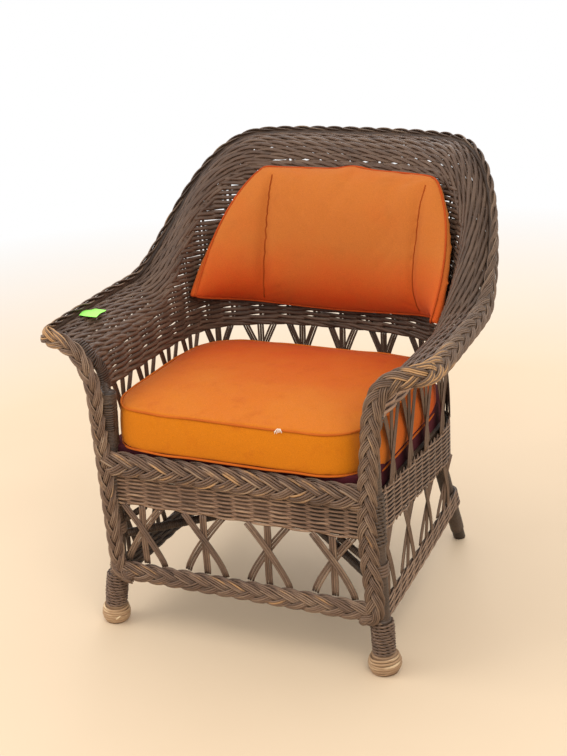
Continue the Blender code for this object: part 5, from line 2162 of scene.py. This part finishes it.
    def stitches(self, cushion: Object, threads: list[Array]) -> None:
        """Dark lines of painted shade along the seams, laid on a finished cushion, each point at the nearest
        place of its surface.

        Args:
            cushion: the cushion.
            threads: the lines before they are laid.
        """
        mesh = PieceMesh()
        shift = Vector(ORIGIN)
        for line in threads:
            for index, point in enumerate(line):
                found, place, normal, _ = cushion.closest_point_on_mesh(Vector(point) + shift)
                if found:
                    line[index] = np.array(place + normal * 0.0004) - ORIGIN
            facing = np.broadcast_to(FRONTWARDS, (1, *line.shape))
            mesh.add_reeds(Reeds(line[None], facing, 0.0013, 0.0009, 0.3, 0.0, 6))
        dress(mesh.make("back_cushion_seam_thread", self.finishes.seam), "cover")

    def deck(self) -> None:
        """The canvas-covered deck, with its upper and lower edges rounded."""
        flat, _ = SKIRT_PLAN.read(np.linspace(0, 1, 120), -0.0077)
        inside = float(post_x(DECK_TOP, Side.RIGHT)) - POST_RADIUS - CLEARANCE
        front, notch = FRONT_FACE_Y + 0.0053, SKIRT_PLAN.front
        left = [(-inside, front), (-inside, notch)]
        right = [(inside, notch), (inside, front)]
        outline = np.concatenate([left, flat, right])[::-1] * (0.985, 1.0)
        edge = ((0.004, 0.0), (0.001, 0.0012), (0.0, 0.0042))
        levels = [(inset, DECK_BOTTOM + up) for inset, up in edge]
        levels += [(inset, DECK_TOP - up) for inset, up in edge[::-1]]
        grid = np.stack([spots(*(outline - unit(outline) * inset).T, z) for inset, z in levels])
        mesh = PieceMesh()
        mesh.add_grid(grid, wrap=True)
        mesh.add_caps(np.stack([grid[0], grid[-1][::-1]]))
        shape = mesh.make("seat_deck_canvas", self.finishes.canvas)
        weld_outwards(shape)
        dress(shape, "deck_cloth", "seat_deck")

    def build(self) -> None:
        """Makes the deck and both cushions."""
        self.deck()
        self.seat()
        self.back()


@dataclass
class SmallThings(Part):
    """The blank paper sticker on the arm and a stray twig."""

    def sticker(self) -> None:
        """A slip of green paper, lifted at one edge, that lies on the arm's flange."""
        corners = np.array([(-0.376, -0.164), (-0.386, -0.111), (-0.338, -0.122), (-0.331, -0.171)])
        s, t = np.meshgrid(np.linspace(0, 1, 14), np.linspace(0, 1, 10), indexing="ij")
        flat = (
            corners[0] * ((1 - s) * (1 - t))[..., None]
            + corners[1] * (s * (1 - t))[..., None]
            + corners[2] * (s * t)[..., None]
            + corners[3] * ((1 - s) * t)[..., None]
        )
        grid = spots(flat[..., 0], flat[..., 1], 0.6098 + 0.0015 * np.sin(s * 5) + 0.002 * t * t)
        mesh = PieceMesh()
        mesh.add_grid(grid)
        mesh.add_grid((grid - (0.0, 0.0, 0.0004))[::-1])
        dress(mesh.make("blank_green_sticker", self.finishes.paper), "reed")

    def twig(self) -> None:
        """A broken reed end that stands out beside the right arm."""
        mesh = PieceMesh()
        points = straight(np.array([0.290, 0.060, 0.505]), np.array([0.305, 0.052, 0.490]), 8)
        points[:, 2] += 0.002 * np.sin(np.linspace(0, 3, 8))
        out = np.broadcast_to((0.0, 0.0, 1.0), points.shape)
        mesh.add_reeds(Reeds(points[None], out[None], 0.0012, 0.0010, 0.7, 0.2, 5))
        dress(mesh.make("broken_reed_end", self.finishes.plait), "reed")

    def build(self) -> None:
        """Makes both."""
        self.sticker()
        self.twig()


@dataclass(frozen=True)
class Studio:
    """Pale floor, soft lamps and the camera of the photograph."""

    camera_place: tuple[float, float, float] = (1.171, -2.5736, 1.477)
    yaw: float = 25.44
    pitch: float = 20.31
    roll: float = -3.12
    lens: float = 69.6
    floor_radius: float = 9.0
    fade_from: float = 1.3
    fade_to: float = 3.2
    daylight: float = 1.17

    def floor(self) -> None:
        """A wide pale floor that turns white far from the chair: a flat disc with soft clouds of colour."""
        work = bmesh.new()
        bmesh.ops.create_circle(work, cap_ends=True, segments=96, radius=self.floor_radius)
        mesh = bpy.data.meshes.new("studio_floor")
        work.to_mesh(mesh)
        work.free()
        floor = bpy.data.objects.new("studio_floor", mesh)
        bpy.context.scene.collection.objects.link(floor)
        g = new_graph("pale_floor")
        place = g.object_place()
        cloud = g.noise(place, 1.5, 3.0, 0.5)
        g.put(g.shader.inputs["Base Color"], g.mix(cloud, rgb(212, 190, 162), rgb(204, 181, 152)))
        g.shader.inputs["Roughness"].default_value = 0.7
        # Far from the chair the floor turns into the white surroundings.
        reach = g.add("ShaderNodeVectorMath", {0: place}, operation="LENGTH").outputs["Value"]
        seen = g.add("ShaderNodeLightPath").outputs["Is Camera Ray"]
        away = g.times(g.spread(reach, self.fade_from, self.fade_to), seen)
        white = g.add("ShaderNodeEmission", {"Color": (1.0, 1.0, 1.0, 1.0), "Strength": 1.0}).outputs[0]
        both = g.add("ShaderNodeMixShader", {0: away, 1: g.shader.outputs[0], 2: white}).outputs[0]
        g.put(g.tree.nodes["Material Output"].inputs["Surface"], both)
        mesh.materials.append(g.owner)

    def world(self) -> None:
        """Even pale surroundings, white where the camera looks."""
        world = bpy.data.worlds.new("soft_daylight")
        bpy.context.scene.world = world
        g = Graph(world)
        background = g.tree.nodes["Background"]
        background.inputs["Color"].default_value = (1.0, 0.985, 0.96, 1.0)
        background.inputs["Strength"].default_value = self.daylight
        white = g.add("ShaderNodeBackground", {"Color": (1.0, 1.0, 1.0, 1.0), "Strength": 1.0}).outputs[0]
        path = g.add("ShaderNodeLightPath")
        seen = g.math("MAXIMUM", path.outputs["Is Camera Ray"], path.outputs["Is Glossy Ray"])
        both = g.add("ShaderNodeMixShader", {0: seen, 1: background.outputs[0], 2: white}).outputs[0]
        g.put(g.tree.nodes["World Output"].inputs[0], both)

    def lamp(self, name: str, place: tuple, aim: tuple, size: float, power: float, colour: tuple) -> None:
        """One soft square lamp.

        Args:
            name: its name.
            place: where it hangs.
            aim: where it points.
            size: its width.
            power: its power in watts.
            colour: the colour of its light.
        """
        data = bpy.data.lights.new(name, "AREA")
        data.shape = "SQUARE"
        data.size = size
        data.energy = power
        data.color = colour
        lamp = bpy.data.objects.new(name, data)
        lamp.location = place
        way = Vector(aim) - Vector(place)
        lamp.rotation_euler = way.to_track_quat("-Z", "Y").to_euler()
        bpy.context.scene.collection.objects.link(lamp)

    def camera(self) -> None:
        """The camera, from its place, its yaw and pitch, and a slight roll."""
        yaw, pitch, roll = (math.radians(a) for a in (self.yaw, self.pitch, self.roll))
        flat = math.cos(pitch)
        forward = Vector((-math.sin(yaw) * flat, math.cos(yaw) * flat, -math.sin(pitch)))
        level = Vector((math.cos(yaw), math.sin(yaw), 0.0))
        upright = level.cross(forward)
        right = math.cos(roll) * level + math.sin(roll) * upright
        up = -math.sin(roll) * level + math.cos(roll) * upright
        matrix = Matrix((right, up, -forward)).transposed().to_4x4()
        matrix.translation = Vector(self.camera_place)
        data = bpy.data.cameras.new("photo_camera")
        data.lens = self.lens
        data.sensor_width = 36.0
        data.sensor_fit = "AUTO"
        data.clip_end = 60.0
        camera = bpy.data.objects.new("photo_camera", data)
        camera.matrix_world = matrix
        bpy.context.scene.collection.objects.link(camera)
        bpy.context.scene.camera = camera

    def build(self) -> None:
        """Makes the floor, the lamps and the camera."""
        self.floor()
        self.world()
        self.lamp("key_lamp", (1.6, -2.2, 2.8), (0.0, 0.0, 0.4), 1.8, 48, (1.0, 0.97, 0.92))
        self.lamp("fill_lamp", (-2.4, -1.4, 2.0), (0.0, 0.0, 0.4), 2.2, 42, (1.0, 0.98, 0.95))
        self.lamp("back_lamp", (-0.6, 2.6, 2.4), (0.0, 0.0, 0.6), 2.0, 30, (1.0, 1.0, 1.0))
        self.camera()
        bpy.context.scene.view_settings.view_transform = "Standard"


def main() -> None:
    """Builds the chair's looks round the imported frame, piece by piece."""
    logging.basicConfig(level=logging.INFO, format="%(name)s %(message)s")
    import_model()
    Studio().build()
    finishes = Finishes()
    rng = np.random.default_rng(1931)
    for part in (WovenWall, LongPlait, Skirt):
        part(finishes, rng).build()
    for side in Side:
        BottomBand(finishes, rng, side).build()
        FrontPost(finishes, rng, side).build()
    for part in (LevelPlaits, Lattice, UnderFrame, Cushions, SmallThings):
        part(finishes, rng).build()


if __name__ == "__main__":
    main()
